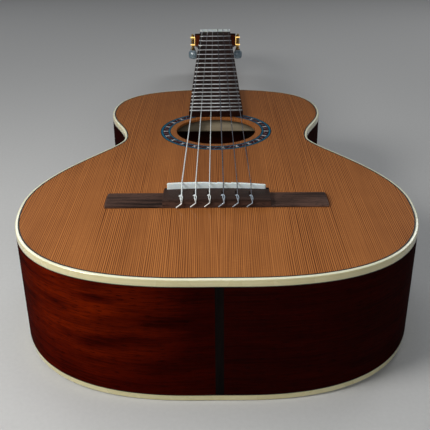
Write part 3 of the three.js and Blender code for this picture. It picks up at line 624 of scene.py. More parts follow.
def bone(name, light):
    """light scales the brightness of the piece."""
    g, x, y, z = new_graph(name)
    cloud = g.noise(x, y, z, scale=90, detail=4)
    pits = g.noise(x * 300, y * 1500, z * 1500)
    dull, bright = (tuple(c * light for c in tint) for tint in ((0.80, 0.88, 0.87), (0.90, 0.98, 0.97)))
    return g.finish(g.blend(g.ramp(cloud), dull, bright), (pits, 0.3, 0.45), (pits, 0.01),
                    subsurface=0.2, radius=(0.002, 0.0015, 0.001), scale=0.5)


def metal(name, tint, roughness):
    """Polished metal with fine scratches and dull patches from handling."""
    g, x, y, z = new_graph(name)
    scratches = g.noise(x * 120, y * 2500, z * 2500)
    patch = g.noise(x, y, z, scale=140, detail=3)
    base = g.blend(g.ramp(patch, 0.35, 0.75), tint, tuple(c * 0.72 for c in tint))
    rough = (scratches * 0.4 + patch * 0.6, roughness * 0.7, roughness * 1.5)
    return g.finish(base, rough, (scratches, 0.004), metallic=1.0)


def wound():
    """Silver wire wound round the core: close ridges along the string, darker grey over the fingerboard."""
    g, x, y, z = new_graph("wound_silver")
    ridge = g.math("SINE", (y + z * 0.3) * (2 * math.pi / (0.2 * MM)))
    patch = g.noise(x, y, z, scale=300)
    base = g.blend(g.ramp(patch), (0.93, 0.98, 0.96), (0.80, 0.85, 0.84))
    # Darker grey over the fingerboard.
    board_darkening = g.ramp(y, 0.14, 0.28, 0.0, 0.88) * g.ramp(y, 0.60, 0.64, 1.0, 0.0)
    base = g.blend(board_darkening, base, (0.10, 0.12, 0.13))
    return g.finish(base, (patch, 0.32, 0.45), (ridge, 0.02, 0.5), metallic=0.15)


def nylon():
    """Clear nylon, paler blue where it is tied at the bridge."""
    g, x, y, z = new_graph("clear_nylon")
    cloud = g.noise(x, y, z, scale=500)
    base = g.blend(g.ramp(cloud), (0.10, 0.105, 0.125), (0.18, 0.19, 0.225))
    base = g.blend(g.ramp(y, -14 * MM, -17 * MM), base, (0.50, 0.58, 0.66))
    return g.finish(base, (cloud, 0.15, 0.25), (cloud, 0.003), transmission=0.35, ior=1.5)


def pearl():
    """Pearl plastic: soft swirls that differ in tint and shine."""
    g, x, y, z = new_graph("pearl_plastic")
    swirl = g.noise(x, y, z, scale=120, detail=3, distortion=2.2)
    flake = g.noise(x, y, z, scale=420, distortion=1.0)
    base = g.blend(g.ramp(swirl, 0.35, 0.65), (0.10, 0.15, 0.19), (0.27, 0.34, 0.38))
    base = g.blend(g.ramp(flake, 0.5, 0.7) * 0.4, base, (0.42, 0.52, 0.60))
    return g.finish(base, (flake, 0.18, 0.34), (swirl, 0.01), coat=0.6, coat_roughness=0.08,
                    subsurface=0.2, radius=(0.003, 0.003, 0.002), scale=0.5)


def white_plastic():
    g, *place = new_graph("roller_white")
    cloud = g.noise(*place, scale=260, detail=3)
    base = g.blend(g.ramp(cloud), (0.66, 0.64, 0.57), (0.78, 0.76, 0.70))
    return g.finish(base, (cloud, 0.3, 0.42), (cloud, 0.01), subsurface=0.1,
                    radius=(0.002, 0.002, 0.001), scale=0.5)


def floor_paper():
    g, *place = new_graph("floor_paper")
    tooth = g.noise(*place, scale=300, detail=3)
    base = g.blend(tooth, (0.56, 0.56, 0.55), (0.62, 0.62, 0.61))
    return g.finish(base, (tooth, 0.9, 0.9), (tooth, 0.02))


# Each look's material, and its slot of the record
LOOKS = {
    "cedar": (cedar(), "cedar"),
    "spruce": (spruce(), "spruce"),
    "side_bass": (mahogany_bass(), "mahogany"),
    "side_treble": (mahogany_treble(), "mahogany"),
    "back": (mahogany_back(), "mahogany"),
    "bare": (mahogany_inside(), None),
    "neck": (neck_wood(), "neck_wood"),
    "bridge": (rosewood_across(), "rosewood"),
    "board": (rosewood_along(), "rosewood"),
    "ebony": (ebony(), "ebony"),
    "cream": (ivoroid(), "binding"),
    "purfling": (purfling(), "ebony"),
    "rosette": (rosette_mosaic(), "mosaic"),
    "saddle": (bone("bone_saddle", 0.9), "bone"),
    "nut": (bone("bone_nut", 1.0), None),
    "nickel": (metal("nickel_silver", (0.58, 0.59, 0.58), 0.34), "nickel"),
    "gold": (metal("gold_plate", (0.44, 0.27, 0.085), 0.14), "brass"),
    "wound": (wound(), "wound_string"),
    "nylon": (nylon(), "nylon"),
    "pearl": (pearl(), "pearl"),
    "roller": (white_plastic(), "roller_plastic"),
}


# Body

class Outline:
    """The body outline by distance s along it from the tail, running up the treble side.

    It is a closed curve through the edge of the CAD soundboard.
    """

    def __init__(self):
        points = node_points("soundboard")
        points = points[np.abs(points[:, 2] - TOP) < NEAR][:, :2]
        past_rosette = np.hypot(*(points - HOLE).T) > ROSETTE_R1 + 5 * MM
        points = np.unique(points[past_rosette], axis=0)
        from_tail = np.arctan2(points[:, 1] - HOLE[1], points[:, 0]) + math.pi / 2
        edge = smooth_ring(points[np.argsort((from_tail + 1e-6) % (2 * math.pi))], 6)
        following = np.roll(edge, -1, axis=0)
        self.s = np.concatenate([[0], np.cumsum(np.hypot(*(following - edge).T))])
        self.length = self.s[-1]
        tangent = following - np.roll(edge, 1, axis=0)
        tangent /= np.linalg.norm(tangent, axis=1)[:, None]
        track = np.column_stack([edge, -tangent[:, 1], tangent[:, 0]])
        self.track = np.vstack([track, track[:1]])

    def at(self, s, inset):
        """Points at distances s, moved inwards by inset from the outside of the binding."""
        columns = [np.interp(s % self.length, self.s, column) for column in self.track.T]
        point, inward = np.column_stack(columns[:2]), np.column_stack(columns[2:])
        return point + inward * (inset - RIM_T)

    def s_at_x(self, x, near_neck):
        """Distance along the treble side where the outline reaches x, near the tail or near the neck."""
        half = (len(self.s) - 1) // 2
        xs = self.track[:half, 0]
        searched = 60
        widest = np.argmax(xs[:half // 2])
        order = slice(None, -searched - 1, -1) if near_neck else slice(widest)
        return np.interp(x, xs[order], self.s[:half][order])


outline = Outline()


def back_height(x):
    """Height of the outside of the back: flat along the middle, rising to the edges."""
    t = np.clip((np.abs(x) - BACK_CROWN_HALF) / (LOWER_HALF - BACK_CROWN_HALF), 0, None)
    return BACK_ARCH * t * t


def rim_piece(name, profile, look, span=None, **options):
    """Sweeps a section round the outline, or along a span of it.

    profile holds (inset, z, lift), and lift 1 follows the back's arch.
    """
    start, end = span or (0, outline.length)
    step = 2.5 * MM
    count = max(3, round((end - start) / step))
    s = np.linspace(start, end, count, endpoint=span is not None)
    columns = []
    for inset, z, lift in profile:
        xy = outline.at(s, inset)
        columns.append(np.column_stack([xy, z + lift * back_height(xy[:, 0])]))
    rings = np.stack(columns, axis=1)
    walls = np.hypot(*np.diff(np.array(profile)[:, :2], axis=0).T)
    down = np.concatenate([[0], np.cumsum(walls)])
    uvs = np.column_stack([np.repeat(s, len(profile)), np.tile(down, count)])
    return add_piece(name, [skin(rings, closed=span is None)], look, uvs=uvs, **options)


def make_bindings():
    """Strips with a rounded outer corner; the one round the back follows its arch."""
    radius = 1.1 * MM
    corner = [(radius * (1 - math.cos(a)), radius * (1 - math.sin(a))) for a in arc(math.pi / 2, 4)]
    places = {"top_binding": (TOP_BINDING_Z, TOP, 1, 0), "back_binding": (BACK_BINDING_H, 0, -1, 1)}
    for node, (edge_z, face_z, up, lift) in places.items():
        profile = [(RIM_T, edge_z, lift), (0, edge_z, lift)]
        profile += [(inset, face_z - up * fall, lift) for inset, fall in corner]
        rim_piece(f"{node}_strip", [*profile, (RIM_T, face_z, lift)], "cream", node=node)


def make_purflings():
    """Dark lines: beside the binding on the soundboard, and where each binding meets the sides."""
    proud = 0.02 * MM
    deep = 0.6 * MM
    width = 1.2 * MM
    line = 0.6 * MM
    places = {
        "top_purfling": (RIM_T - proud, RIM_T + width, TOP - deep, TOP + proud, 0),
        "side_purfling_top": (-proud, deep, TOP_BINDING_Z - line, TOP_BINDING_Z, 0),
        "side_purfling_back": (-proud, deep, BACK_BINDING_H, BACK_BINDING_H + line, 1),
    }
    for name, (outer, inner, low, high, lift) in places.items():
        corners = ((outer, low), (inner, low), (inner, high), (outer, high))
        rim_piece(name, [(inset, z, lift) for inset, z in corners], "purfling")


def make_sides():
    neck_s = outline.s_at_x(TENON_HALF, near_neck=True)
    low, high = BACK_BINDING_H, TOP_BINDING_Z
    profile = [(0, low, 1), (0, high, 0), (RIM_T, high, 0), (RIM_T, low, 1)]
    inner_wall = 2
    spans = {"treble": (GRAFT_HI.x, neck_s), "bass": (-neck_s, GRAFT_LO.x)}
    for side, span in spans.items():
        rib = rim_piece(f"rib_{side}", profile, f"side_{side}", span, node=f"side_{side}", spare="bare")
        for face in rib.data.polygons:
            face.material_index = int(face.index % len(profile) == inner_wall)
    rim_piece("end_graft", profile, "ebony", (GRAFT_LO.x, GRAFT_HI.x), node="tail_graft")


def make_linings():
    """Kerfed linings with a sloping inner face."""
    tail_s = outline.s_at_x(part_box("tail_block")[1].x, near_neck=False)
    neck_s = outline.s_at_x(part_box("neck_block")[1].x, near_neck=True)
    spans = {"treble": (tail_s, neck_s), "bass": (outline.length - neck_s, outline.length - tail_s)}
    depth = 6 * MM
    lip = 4 * MM
    wall, foot, inner = RIM_T, RIM_T + 0.3 * depth, RIM_T + depth
    for side, span in spans.items():
        low, high = (corner.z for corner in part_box(f"top_lining_{side}"))
        profile = [(wall, high, 0), (wall, low, 0), (foot, low, 0), (inner, high - lip, 0), (inner, high, 0)]
        rim_piece(f"kerfed_top_lining_{side}", profile, "spruce", span, node=f"top_lining_{side}")
        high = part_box(f"back_lining_{side}")[1].z
        profile = [(wall, BACK_T, 1), (wall, high, 0), (foot, high, 0), (inner, BACK_T + lip, 1)]
        profile.append((inner, BACK_T, 1))
        rim_piece(f"kerfed_back_lining_{side}", profile, "spruce", span, node=f"back_lining_{side}")


def around_hole(radius, z, angles):
    xy = HOLE + radius * np.column_stack([np.cos(angles), np.sin(angles)])
    return np.column_stack([xy, np.full(len(angles), z)])


def make_soundboard():
    edge = outline.at(np.linspace(0, outline.length, 420, endpoint=False), RIM_T)
    angles = np.arctan2(edge[:, 1] - HOLE[1], edge[:, 0])
    soft = 0.5 * MM
    steps = [
        (HOLE_R, TOP_LO.z),
        (HOLE_R, TOP - soft),
        (HOLE_R + 0.3 * soft, TOP - 0.3 * soft),
        (HOLE_R + soft, TOP),
        (ROSETTE_R0, TOP),
        (ROSETTE_R0, ROSETTE_FLOOR),
        (ROSETTE_R1, ROSETTE_FLOOR),
        (ROSETTE_R1, TOP),
    ]
    rings = [around_hole(radius, z, angles) for radius, z in steps]
    rings += [np.column_stack([edge, np.full(len(edge), z)]) for z in (TOP, TOP_LO.z)]
    add_piece("cedar_top", [skin(rings, closed=True)], "cedar", node="soundboard", crease=30)


def make_rosette():
    angles = np.linspace(0, 2 * math.pi, 180, endpoint=False)
    rings = [around_hole(radius, TOP, angles) for radius in np.linspace(ROSETTE_R0, ROSETTE_R1, 6)]
    rings += [around_hole(radius, ROSETTE_FLOOR, angles) for radius in (ROSETTE_R1, ROSETTE_R0)]
    add_piece("rosette_inlay", [skin(rings, closed=True)], "rosette", node="rosette")


def make_back():
    edge = outline.at(np.linspace(0, outline.length, 300, endpoint=False), RIM_T)
    centre = np.array([0, (BINDING_LO.y + NECK_END_Y) / 2])
    shares = [1, 0.985, 0.95, 0.88, 0.78, 0.66, 0.52, 0.38, 0.24, 0.1, 0.01]

    def ring(share, lift):
        xy = centre + (edge - centre) * share
        return np.column_stack([xy, back_height(xy[:, 0]) + lift])

    rings = [ring(share, 0) for share in reversed(shares)] + [ring(share, BACK_T) for share in shares]
    plate = add_piece("mahogany_back_plate", [skin(rings)], "back", node="back_plate", spare="bare",
                      crease=50)
    for face in plate.data.polygons:
        face.material_index = int(face.normal.z > 0.5)


def dress_inside():
    bars = ["upper_harmonic_bar", "lower_harmonic_bar", *(f"back_brace_{n}" for n in (1, 2, 3))]
    for node in bars:
        dress(node, "spruce", 1.6 * MM)
    dress("fan_bracing", "spruce", 0.8 * MM)
    dress("tail_block", "spruce", 1 * MM)
    dress("neck_block", "neck", 0.8 * MM)


# Neck

# FILLET is how far the heel's hollow reaches up the neck
NECK_T_NUT = 15 * MM
NECK_T_HEEL = 17 * MM
FILLET = 60 * MM
TENON_HALF = 20 * MM
TENON_Y = 302 * MM
BOARD_SPREAD = (BOARD_HI.x - NUT_HALF) / (SCALE - BOARD_LO.y)
FRETS = 19


def board_half(y):
    return NUT_HALF + (SCALE - y) * BOARD_SPREAD


def neck_ring(base, tip, half, squareness):
    """Half a rounded section hanging from base towards tip, closed by the straight line across base."""
    base, tip = Vector(base), Vector(tip)
    wide = 1 - 0.8 * squareness
    deep = 0.8 - 0.6 * squareness
    ring = []
    for angle in arc(math.pi, 28):
        across = math.copysign(abs(math.cos(angle)) ** wide, math.cos(angle))
        down = math.sin(angle) ** deep if angle < math.pi else 0.0
        ring.append(Vector((half * across, 0, 0)) + base + (tip - base) * down)
    return ring


def shaft_rings():
    """From the head down to the heel."""
    rings = []
    for distance in (16 * MM, 8 * MM, 2 * MM):
        base = HEAD @ Vector((0, distance, -GLUE))
        tip = HEAD @ Vector((0, distance, -HEAD_T))
        rings.append(neck_ring(base, tip, NUT_HALF - 0.2 * MM, 1.0))
    for y, square in ((NUT_HI.y - 6 * MM, 0.45), (NUT_HI.y - 16 * MM, 0.1)):
        rings.append(neck_ring((0, y, TOP), (0, y, TOP - NECK_T_NUT), board_half(y), square))
    fillet_y = NECK_END_Y + FILLET
    for y in np.linspace(NUT_HI.y - 30 * MM, fillet_y + 8 * MM, 12):
        depth = NECK_T_NUT + (NECK_T_HEEL - NECK_T_NUT) * (SCALE - y) / (SCALE - fillet_y)
        rings.append(neck_ring((0, y, TOP), (0, y, TOP - depth), board_half(y), 0.0))
    return rings


def heel_rings():
    """From the shaft to the heel cap, where t is 0; while t is over turn the sections swing round."""
    rings = []
    turn = 0.8
    first = 0.955
    inside = 2 * MM
    for t in [first, 0.94, 0.92, 0.9, 0.88, 0.86, 0.84, 0.82, *np.linspace(turn, 0, 20)]:
        reach = (24 + 3 * t + 40 * t**4) * MM
        tip = (0, NECK_END_Y + reach, HEEL_CAP_TOP + t * (TOP - 12 * MM - HEEL_CAP_TOP))
        if t > turn:
            share = (t - turn) / (first - turn)
            base = (0, NECK_END_Y - inside + share * (FILLET + inside), TOP)
            half = board_half(base[1])
        else:
            base = (0, NECK_END_Y - inside, HEEL_CAP_TOP + (TOP - HEEL_CAP_TOP) * t / turn)
            slim = (14 + 13 * t**1.3) * MM
            half = slim + (board_half(NECK_END_Y) - slim) * ease((t - 0.35) / 0.45)
        rings.append(neck_ring(base, tip, half, 0.0))
    return rings


def make_neck():
    tenon = box_part((-TENON_HALF, TENON_Y, BACK_BINDING_H), (TENON_HALF, NECK_END_Y, TOP_BINDING_Z))
    add_piece("neck_shaft", [skin(shaft_rings() + heel_rings()), tenon], "neck", node="neck", crease=40)


def make_fingerboard():
    y0, y1 = BOARD_LO.y, SCALE
    corners = [(-board_half(y0), y0), (board_half(y0), y0), (board_half(y1), y1), (-board_half(y1), y1)]
    plank = flat_part(corners, [], BOARD_LO.z, BOARD_HI.z)
    add_bevel(add_piece("finger_board", [plank], "board", node="fingerboard"), 0.5 * MM)


def domed_ring(x, y, half, foot, shoulder, rise, power, steps):
    """Section across a bar at x, y: straight walls up from foot to shoulder, and a dome on them."""
    turns = arc(math.pi, steps)[:-1]
    dome = [(y - half * math.cos(a), shoulder + rise * math.sin(a) ** power) for a in turns]
    return [(x, *place) for place in ((y - half, foot), *dome, (y + half, shoulder), (y + half, foot))]


def fret_ring(x, y, share):
    """Section of a fret wire; share scales it down towards the ends."""
    half = 1.2 * MM * (0.55 + 0.45 * share)
    return domed_ring(x, y, half, BOARD_HI.z - 0.4 * MM, BOARD_HI.z, 1.0 * MM * share, 0.8, 8)


def make_frets():
    """Wires at the equal-tempered places; the first stands for the CAD comb of all of them."""
    for n in range(1, FRETS + 1):
        y = SCALE / 2 ** (n / 12)
        half = board_half(y) - 0.35 * MM
        stations = mirrored([(half - 0.9 * MM, 1), (half - 0.35 * MM, 0.6), (half, 0.08)])
        rings = [fret_ring(x, y, share) for x, share in stations]
        add_piece(f"fret_{n}", [skin(rings)], "nickel", node="frets" if n == 1 else None, crease=50)


# Head

neck_points = node_points("neck")
head_points = np.array([to_head(p)[:] for p in neck_points])
HEAD_HALF = neck_points[:, 0].max()
HEAD_LEN = head_points[:, 1].max()
HEAD_T = -head_points[head_points[:, 1] > 60 * MM][:, 2].min()
GLUE = 0.05 * MM
VENEER_TOP = 2.8 * MM

# The two slots: distance of their middles from the centre line, half width, and their ends
SLOT_X = 17 * MM
SLOT_HALF = 8 * MM
SLOT_Y0 = 26 * MM
SLOT_Y1 = 142 * MM


def head_outline():
    """The right half from the nut to the crest, then its mirror image."""
    half = [(NUT_HALF, 0.5 * MM), (NUT_HALF, 3 * MM)]
    half += bezier(half[-1], (NUT_HALF, 13 * MM), (HEAD_HALF, 12 * MM), (HEAD_HALF, 24 * MM), 12)[1:]
    shoulder = (HEAD_HALF, HEAD_LEN - 12 * MM)
    crown = (HEAD_HALF * 0.73, HEAD_LEN - 4 * MM), (HEAD_HALF * 0.4, HEAD_LEN)
    half += bezier(shoulder, *crown, (0, HEAD_LEN), 14)
    return half + [(-x, y) for x, y in reversed(half[:-1])]


def slot_outline(sign):
    points = []
    for y, start in ((SLOT_Y0 + SLOT_HALF, math.pi), (SLOT_Y1 - SLOT_HALF, 0.0)):
        for angle in arc(math.pi, 16, start):
            points.append((sign * SLOT_X + SLOT_HALF * math.cos(angle), y + SLOT_HALF * math.sin(angle)))
    return points


def string_ramp(sign):
    """Sloping cut into the nut end of a head slot."""
    half = SLOT_HALF - 1 * MM
    length, height = 24 * MM, 12 * MM
    part = box_part((sign * SLOT_X - half, 0, 0), (sign * SLOT_X + half, length, height))
    slope = Matrix.Rotation(-math.radians(18), 4, "X")
    return placed(part, HEAD @ Matrix.Translation((0, 14 * MM, VENEER_TOP)) @ slope)


def tuner_places():
    """(number, side name, side sign, roller centre, worm centre) in head coordinates."""
    out = []
    for side, sign in SIDES:
        for number in (1, 2, 3):
            drum = to_head(joint(f"turn_drum_{number}_{side}")["pos_m"])
            worm = to_head(joint(f"turn_worm_{number}_{side}")["pos_m"])
            out.append((number, side, sign, drum, worm))
    return out


TUNERS = tuner_places()


def make_head():
    """The slotted slab, bored for the rollers, and the rosewood veneer on its face."""
    slots = [slot_outline(sign) for _, sign in SIDES]
    ramps = [string_ramp(sign) for _, sign in SIDES]
    bore = [(5.3 * MM, ROLLER_R + 0.2 * MM), (HEAD_HALF + 1 * MM, ROLLER_R + 0.2 * MM)]
    bores = []
    for *_, sign, drum, _ in TUNERS:
        bores.append(placed(turned_part(bore, (0, drum.y, drum.z), (sign, 0, 0)), HEAD))
    slab = placed(flat_part(head_outline(), slots, -HEAD_T, 0), HEAD)
    head = add_piece("head_slab", [slab], "neck")
    cut_with(head, ramps + bores)
    add_bevel(head, 0.9 * MM)
    face = placed(flat_part(head_outline(), slots, GLUE, VENEER_TOP), HEAD)
    veneer = add_piece("head_face", [face], "board", node="head_veneer")
    cut_with(veneer, ramps)
    add_bevel(veneer, 0.5 * MM)


# Bridge and saddle

BLOCK_HALF = 44.8 * MM
BLOCK_ARCH = 1.2 * MM
TIE_BLOCK = 6.9 * MM
RAMP_END = 16.9 * MM
SADDLE_CORNER = 1.0 * MM
SADDLE_DOME = 0.8 * MM

# The tie block's section: distance from the rear edge and fall below its top, in millimetres
BLOCK_SECTION = (
    (0, 0.9), (0.2, 0.35), (0.7, 0.08), (1.6, 0), (5, 0), (10, 0), (15, 0), (20, 0), (24, 0),
    (25.4, 0.1), (26.4, 1.0), (27.2, 1.9), (27.4, 2.3),
)


def bridge_ring(x, share, end):
    """Section of the bridge at x: share 0 is the thin wing, 1 the tie block; end thins the wing tips."""
    rear, front = BRIDGE_LO.y, BRIDGE_HI.y
    middle, half = (rear + front) / 2, (front - rear) / 2
    arch = BLOCK_ARCH * min(1, abs(x) / BLOCK_HALF) ** 2
    ring = [Vector((x, rear, TOP))]
    for along, fall in in_mm(BLOCK_SECTION):
        y = rear + along
        dome = max(0.0, 1 - ((y - middle) / half) ** 2) ** 0.7
        wing = (1.2 + 2.0 * dome) * MM * end
        block = BRIDGE_H - arch - fall
        ring.append(Vector((x, y, TOP + wing + (block - wing) * share)))
    return [*ring, Vector((x, front, TOP))]


def ramp_part(x, half):
    """The slot that leads a string down to its hole."""
    floor, top = TOP + 3.3 * MM, TOP + BRIDGE_H + 1 * MM
    rear, front = BRIDGE_LO.y + TIE_BLOCK, BRIDGE_LO.y + RAMP_END
    section = [(rear, floor), (front - 2 * MM, floor), (front, TOP + BRIDGE_H), (front, top), (rear, top)]
    return skin([[(end, y, z) for y, z in section] for end in (x - half, x + half)])


def make_bridge():
    half = BRIDGE_HI.x
    wall = 0.25 * MM
    stations = mirrored([
        *((x * MM, 1, 1) for x in (4, 12, 20, 28, 36)),
        (BLOCK_HALF - 0.7 * MM, 1, 1),
        (BLOCK_HALF - 0.3 * MM, 0.985, 1),
        (BLOCK_HALF, 0.93, 1),
        (BLOCK_HALF + wall, 0, 1),
        (BLOCK_HALF + 6 * MM, 0, 1),
        (half - 18 * MM, 0, 1),
        (half - 2 * MM, 0, 1),
        (half - 0.3 * MM, 0, 0.9),
        (half, 0, 0.8),
    ])
    rings = [bridge_ring(*station) for station in stations]
    bridge = add_piece("tie_bridge", [skin(rings)], "bridge", node="bridge", crease=40)
    clear = 0.1 * MM
    past = BLOCK_HALF + 0.6 * MM
    cutters = [box_part((-past, SADDLE_LO.y - clear, SADDLE_LO.z), (past, SADDLE_HI.y + clear, SADDLE_HI.z))]
    hole = [(0, 0.9 * MM), (9 * MM, 0.9 * MM)]
    for centres, _ in STRINGS.values():
        x, _, z = centres[0]
        cutters.append(ramp_part(x - 0.65 * MM, 1.3 * MM))
        cutters.append(turned_part(hole, (x, BRIDGE_LO.y - 1 * MM, z), (0, 1, 0)))
    cut_with(bridge, cutters)
    add_bevel(bridge, 0.22 * MM, segments=2)


def saddle_crest():
    """The height of the CAD saddle's crest as (x, z) corners."""
    points = node_points("saddle")
    points = points[points[:, 2] > SADDLE_LO.z + 2 * MM][:, [0, 2]]
    return points[np.lexsort((points[:, 1], points[:, 0]))]


CREST = saddle_crest()


def saddle_ring(x):
    """Section of the saddle at x, with rounded ends."""
    middle = (SADDLE_LO.y + SADDLE_HI.y) / 2
    past = max(0.0, (abs(x) - (SADDLE_HI.x - SADDLE_CORNER)) / SADDLE_CORNER)
    lost = 1 - math.sqrt(max(0.0, 1 - past * past))
    half_t = (SADDLE_HI.y - SADDLE_LO.y) / 2 - 0.9 * MM * lost
    shoulder = np.interp(x, CREST[:, 0], CREST[:, 1]) - SADDLE_DOME * (1 + lost)
    return domed_ring(x, middle, half_t, SADDLE_LO.z, shoulder, SADDLE_DOME, 0.7, 10)


def make_saddle():
    straight = SADDLE_HI.x - SADDLE_CORNER
    ends = [straight + SADDLE_CORNER * math.sin(a) for a in np.linspace(0.2, math.pi / 2, 6)]
    xs = [*(-x for x in reversed(ends)), *np.linspace(-straight, straight, 120), *ends]
    add_piece("bone_saddle", [skin([saddle_ring(x) for x in xs])], "saddle", node="saddle", crease=50)


# Strings

def string_path(n):
    """Centre points of CAD string n, from its hole to its roller, and its radius."""
    points = node_points(f"string_{n}")
    points = points[np.argsort(points[:, 1])]
    groups = np.split(points, np.where(np.diff(points[:, 1]) > 2 * MM)[0] + 1)
    centres = np.array([group.mean(axis=0) for group in groups])
    return centres, np.linalg.norm(groups[0] - centres[0], axis=1).max()


STRINGS = {n: string_path(n) for n in range(1, 7)}


def string_look(n):
    return "nylon" if n <= 3 else "wound"


def tie_path(x, z, r):
    """The tied end: up over the tie block, round the string in front of it, back over, then the tail."""
    top = TOP + BRIDGE_H - BLOCK_ARCH * (x / BLOCK_HALF) ** 2
    wide = 0.35 * MM + 0.75 * r
    tail = 4.2 * MM
    points = [
        (0, 1 * MM, z - top),
        (0.1 * r, -1.1 * r, z - top + 0.1 * MM),
        (0.6 * wide, -1.2 * r, -1.6 * MM),
        (wide, 0.4 * MM, 0.8 * r),
        (1.25 * wide, 2.4 * MM, r),
        (1.0 * wide, 4.6 * MM, r),
        (0.3 * wide, 6.4 * MM, 1.6 * r),
        (-1.2 * wide, 7.9 * MM, 0.8 * r),
        (-2.6 * wide, 8.1 * MM, -0.4 * MM),
        (-2.4 * wide, 6.9 * MM, 0.5 * r),
        (-1.2 * wide, 5.6 * MM, 1.2 * r),
        (-1.0 * wide, 3.6 * MM, r),
        (-1.0 * wide, 1.6 * MM, 1.1 * r),
        (-0.6 * wide, -0.2 * MM, 1.2 * r),
        (0.2 * wide, -2.4 * r, -1.3 * MM),
        (0.5 * wide, -3.2 * r, -2.6 * MM),
        (-0.6 * wide, -3.6 * r, -3.3 * MM),
        (-0.35 * tail, -3.4 * r, -4.2 * MM),
        (-0.7 * tail, -3.2 * r, -5.3 * MM),
        (-tail, -3.0 * r, -6.4 * MM),
    ]
    return smooth_path([(x + dx, BRIDGE_LO.y + dy, top + dz) for dx, dy, dz in points], 6)


def between(a, b, shares):
    return [a + (b - a) * share for share in shares]


def make_strings():
    for n, (centres, r) in STRINGS.items():
        hole, ramp, saddle, nut_front, nut_back, landing = centres[:6]
        path = [hole, ramp, *between(ramp, saddle, (0.5, 0.94))]
        path += between(saddle, nut_front, (0.002, *np.linspace(0.01, 0.995, 40)))
        path += [nut_front, nut_back, *between(nut_back, landing, (0.1, 0.4, 0.7, 1.0))]
        parts = [tube(path, r, 12), tube(tie_path(hole[0], hole[2], r), r, 8)]
        add_piece(f"string_{n}_tied", parts, string_look(n), node=f"string_{n}", crease=60)


# Tuning machines

ROLLER_R = 5 * MM
GEAR_R = 6.5 * MM
GEAR_TEETH = 14
WORM_PITCH = 2 * math.pi * GEAR_R / GEAR_TEETH
WORM_ROOT = 1.6 * MM
WORM_THREAD = 1.65 * MM
WORM_SHAFT = 1.45 * MM
THREAD_END = 4.5 * MM
KNOB_END = 12.4 * MM
COLLAR_END = 15.2 * MM
PLATE_SCREWS = (35.5 * MM, 66.5 * MM, 101.5 * MM, 140.5 * MM)

# Profiles as (distance, radius) in millimetres: the knob's and collar's from their outer ends
KNOB = ((-4.1, 1.4), (-3.7, 1.7), (-3, 1.95), (-2, 2.05), (-1, 1.8), (-0.4, 1.3), (0, 0.3))
COLLAR = (
    (0, 2.4), (0.1, 3.6), (0.5, 4.0), (0.9, 3.9), (1.3, 3.2), (2.2, 2.4), (3.2, 2.0), (3.7, 2.3), (4.2, 2.2),
    (4.7, 1.45),
)
ROLLER = ((5.8, 4.6), (6.2, 5.0), (34.5, 5.0), (34.9, 4.6), (34.9, 2.8), (38.8, 2.8))


def thread_height(z, angle):
    """How far the thread stands out at a place on the worm, from 0 to 1; it fades out at its ends."""
    fade = ease((THREAD_END - 0.1 * MM - abs(z)) / (0.5 * MM))
    turns = z / WORM_PITCH - angle / (2 * math.pi)
    foot, flank = 0.24, 0.17
    return ease((foot - abs(turns - round(turns))) / flank) * fade


def worm_ring(worm, z, radius, thread=0.0):
    ring = []
    for angle in circle(28):
        r = radius + thread * thread_height(z, angle)
        ring.append(HEAD @ Vector((worm.x - r * math.sin(angle), worm.y + r * math.cos(angle), worm.z + z)))
    return ring


def make_worm(number, side, worm):
    body = f"worm_{number}_{side}"
    past_thread = THREAD_END + 0.25 * MM
    rings = [worm_ring(worm, z, WORM_SHAFT) for z in (-COLLAR_END - 0.4 * MM, -past_thread)]
    rings += [worm_ring(worm, z, WORM_ROOT, WORM_THREAD) for z in np.linspace(-THREAD_END, THREAD_END, 56)]
    rings += [worm_ring(worm, z, WORM_SHAFT) for z in (past_thread, 8.6 * MM)]
    add_piece(f"{body}_thread", [skin(rings)], "gold", body, node=f"worm_shaft_{number}_{side}", crease=60)
    for name, profile, end in (("knob", KNOB, KNOB_END), ("collar", COLLAR, -COLLAR_END)):
        turned = turned_part(in_mm(profile), worm + Vector((0, 0, end)), (0, 0, 1), 32)
        add_piece(f"{body}_{name}", [placed(turned, HEAD)], "gold", body)


def make_button(number, side, worm):
    """Flattened oval button, turned about its shaft as the CAD one is."""
    points = np.array([to_head(p)[:] for p in node_points(f"button_{number}_{side}")])
    centre = np.array(worm[:2])
    reach = points[:, :2] - centre
    distance = np.hypot(*reach.T)
    broad = reach[np.argmax(distance)] / distance.max()
    thin = np.array([-broad[1], broad[0]])
    half_w = distance.max() - 0.05 * MM
    half_t = np.abs(reach @ thin).max()
    low, high = points[:, 2].min(), points[:, 2].max()
    rows = 26
    rings = []
    for i in range(rows):
        t = 0.5 - 0.5 * math.cos(math.pi * i / (rows - 1))
        end = abs(2 * t - 1)
        width = half_w * max((1 - end**3.4) ** 0.42, 0.52 if t < 0.5 else 0.12)
        depth = half_t * max((1 - end**2.4) ** 0.5, 0.5 if t < 0.5 else 0.1)
        ring = []
        for angle in circle(40):
            a, b = (math.copysign(abs(c) ** 0.9, c) for c in (math.cos(angle), math.sin(angle)))
            xy = centre + width * a * broad + depth * b * thin
            ring.append(HEAD @ Vector((*xy, high - t * (high - low))))
        rings.append(ring)
    add_piece(f"pearl_button_{number}_{side}", [skin(rings)], "pearl", f"worm_{number}_{side}",
              node=f"button_{number}_{side}", crease=70)


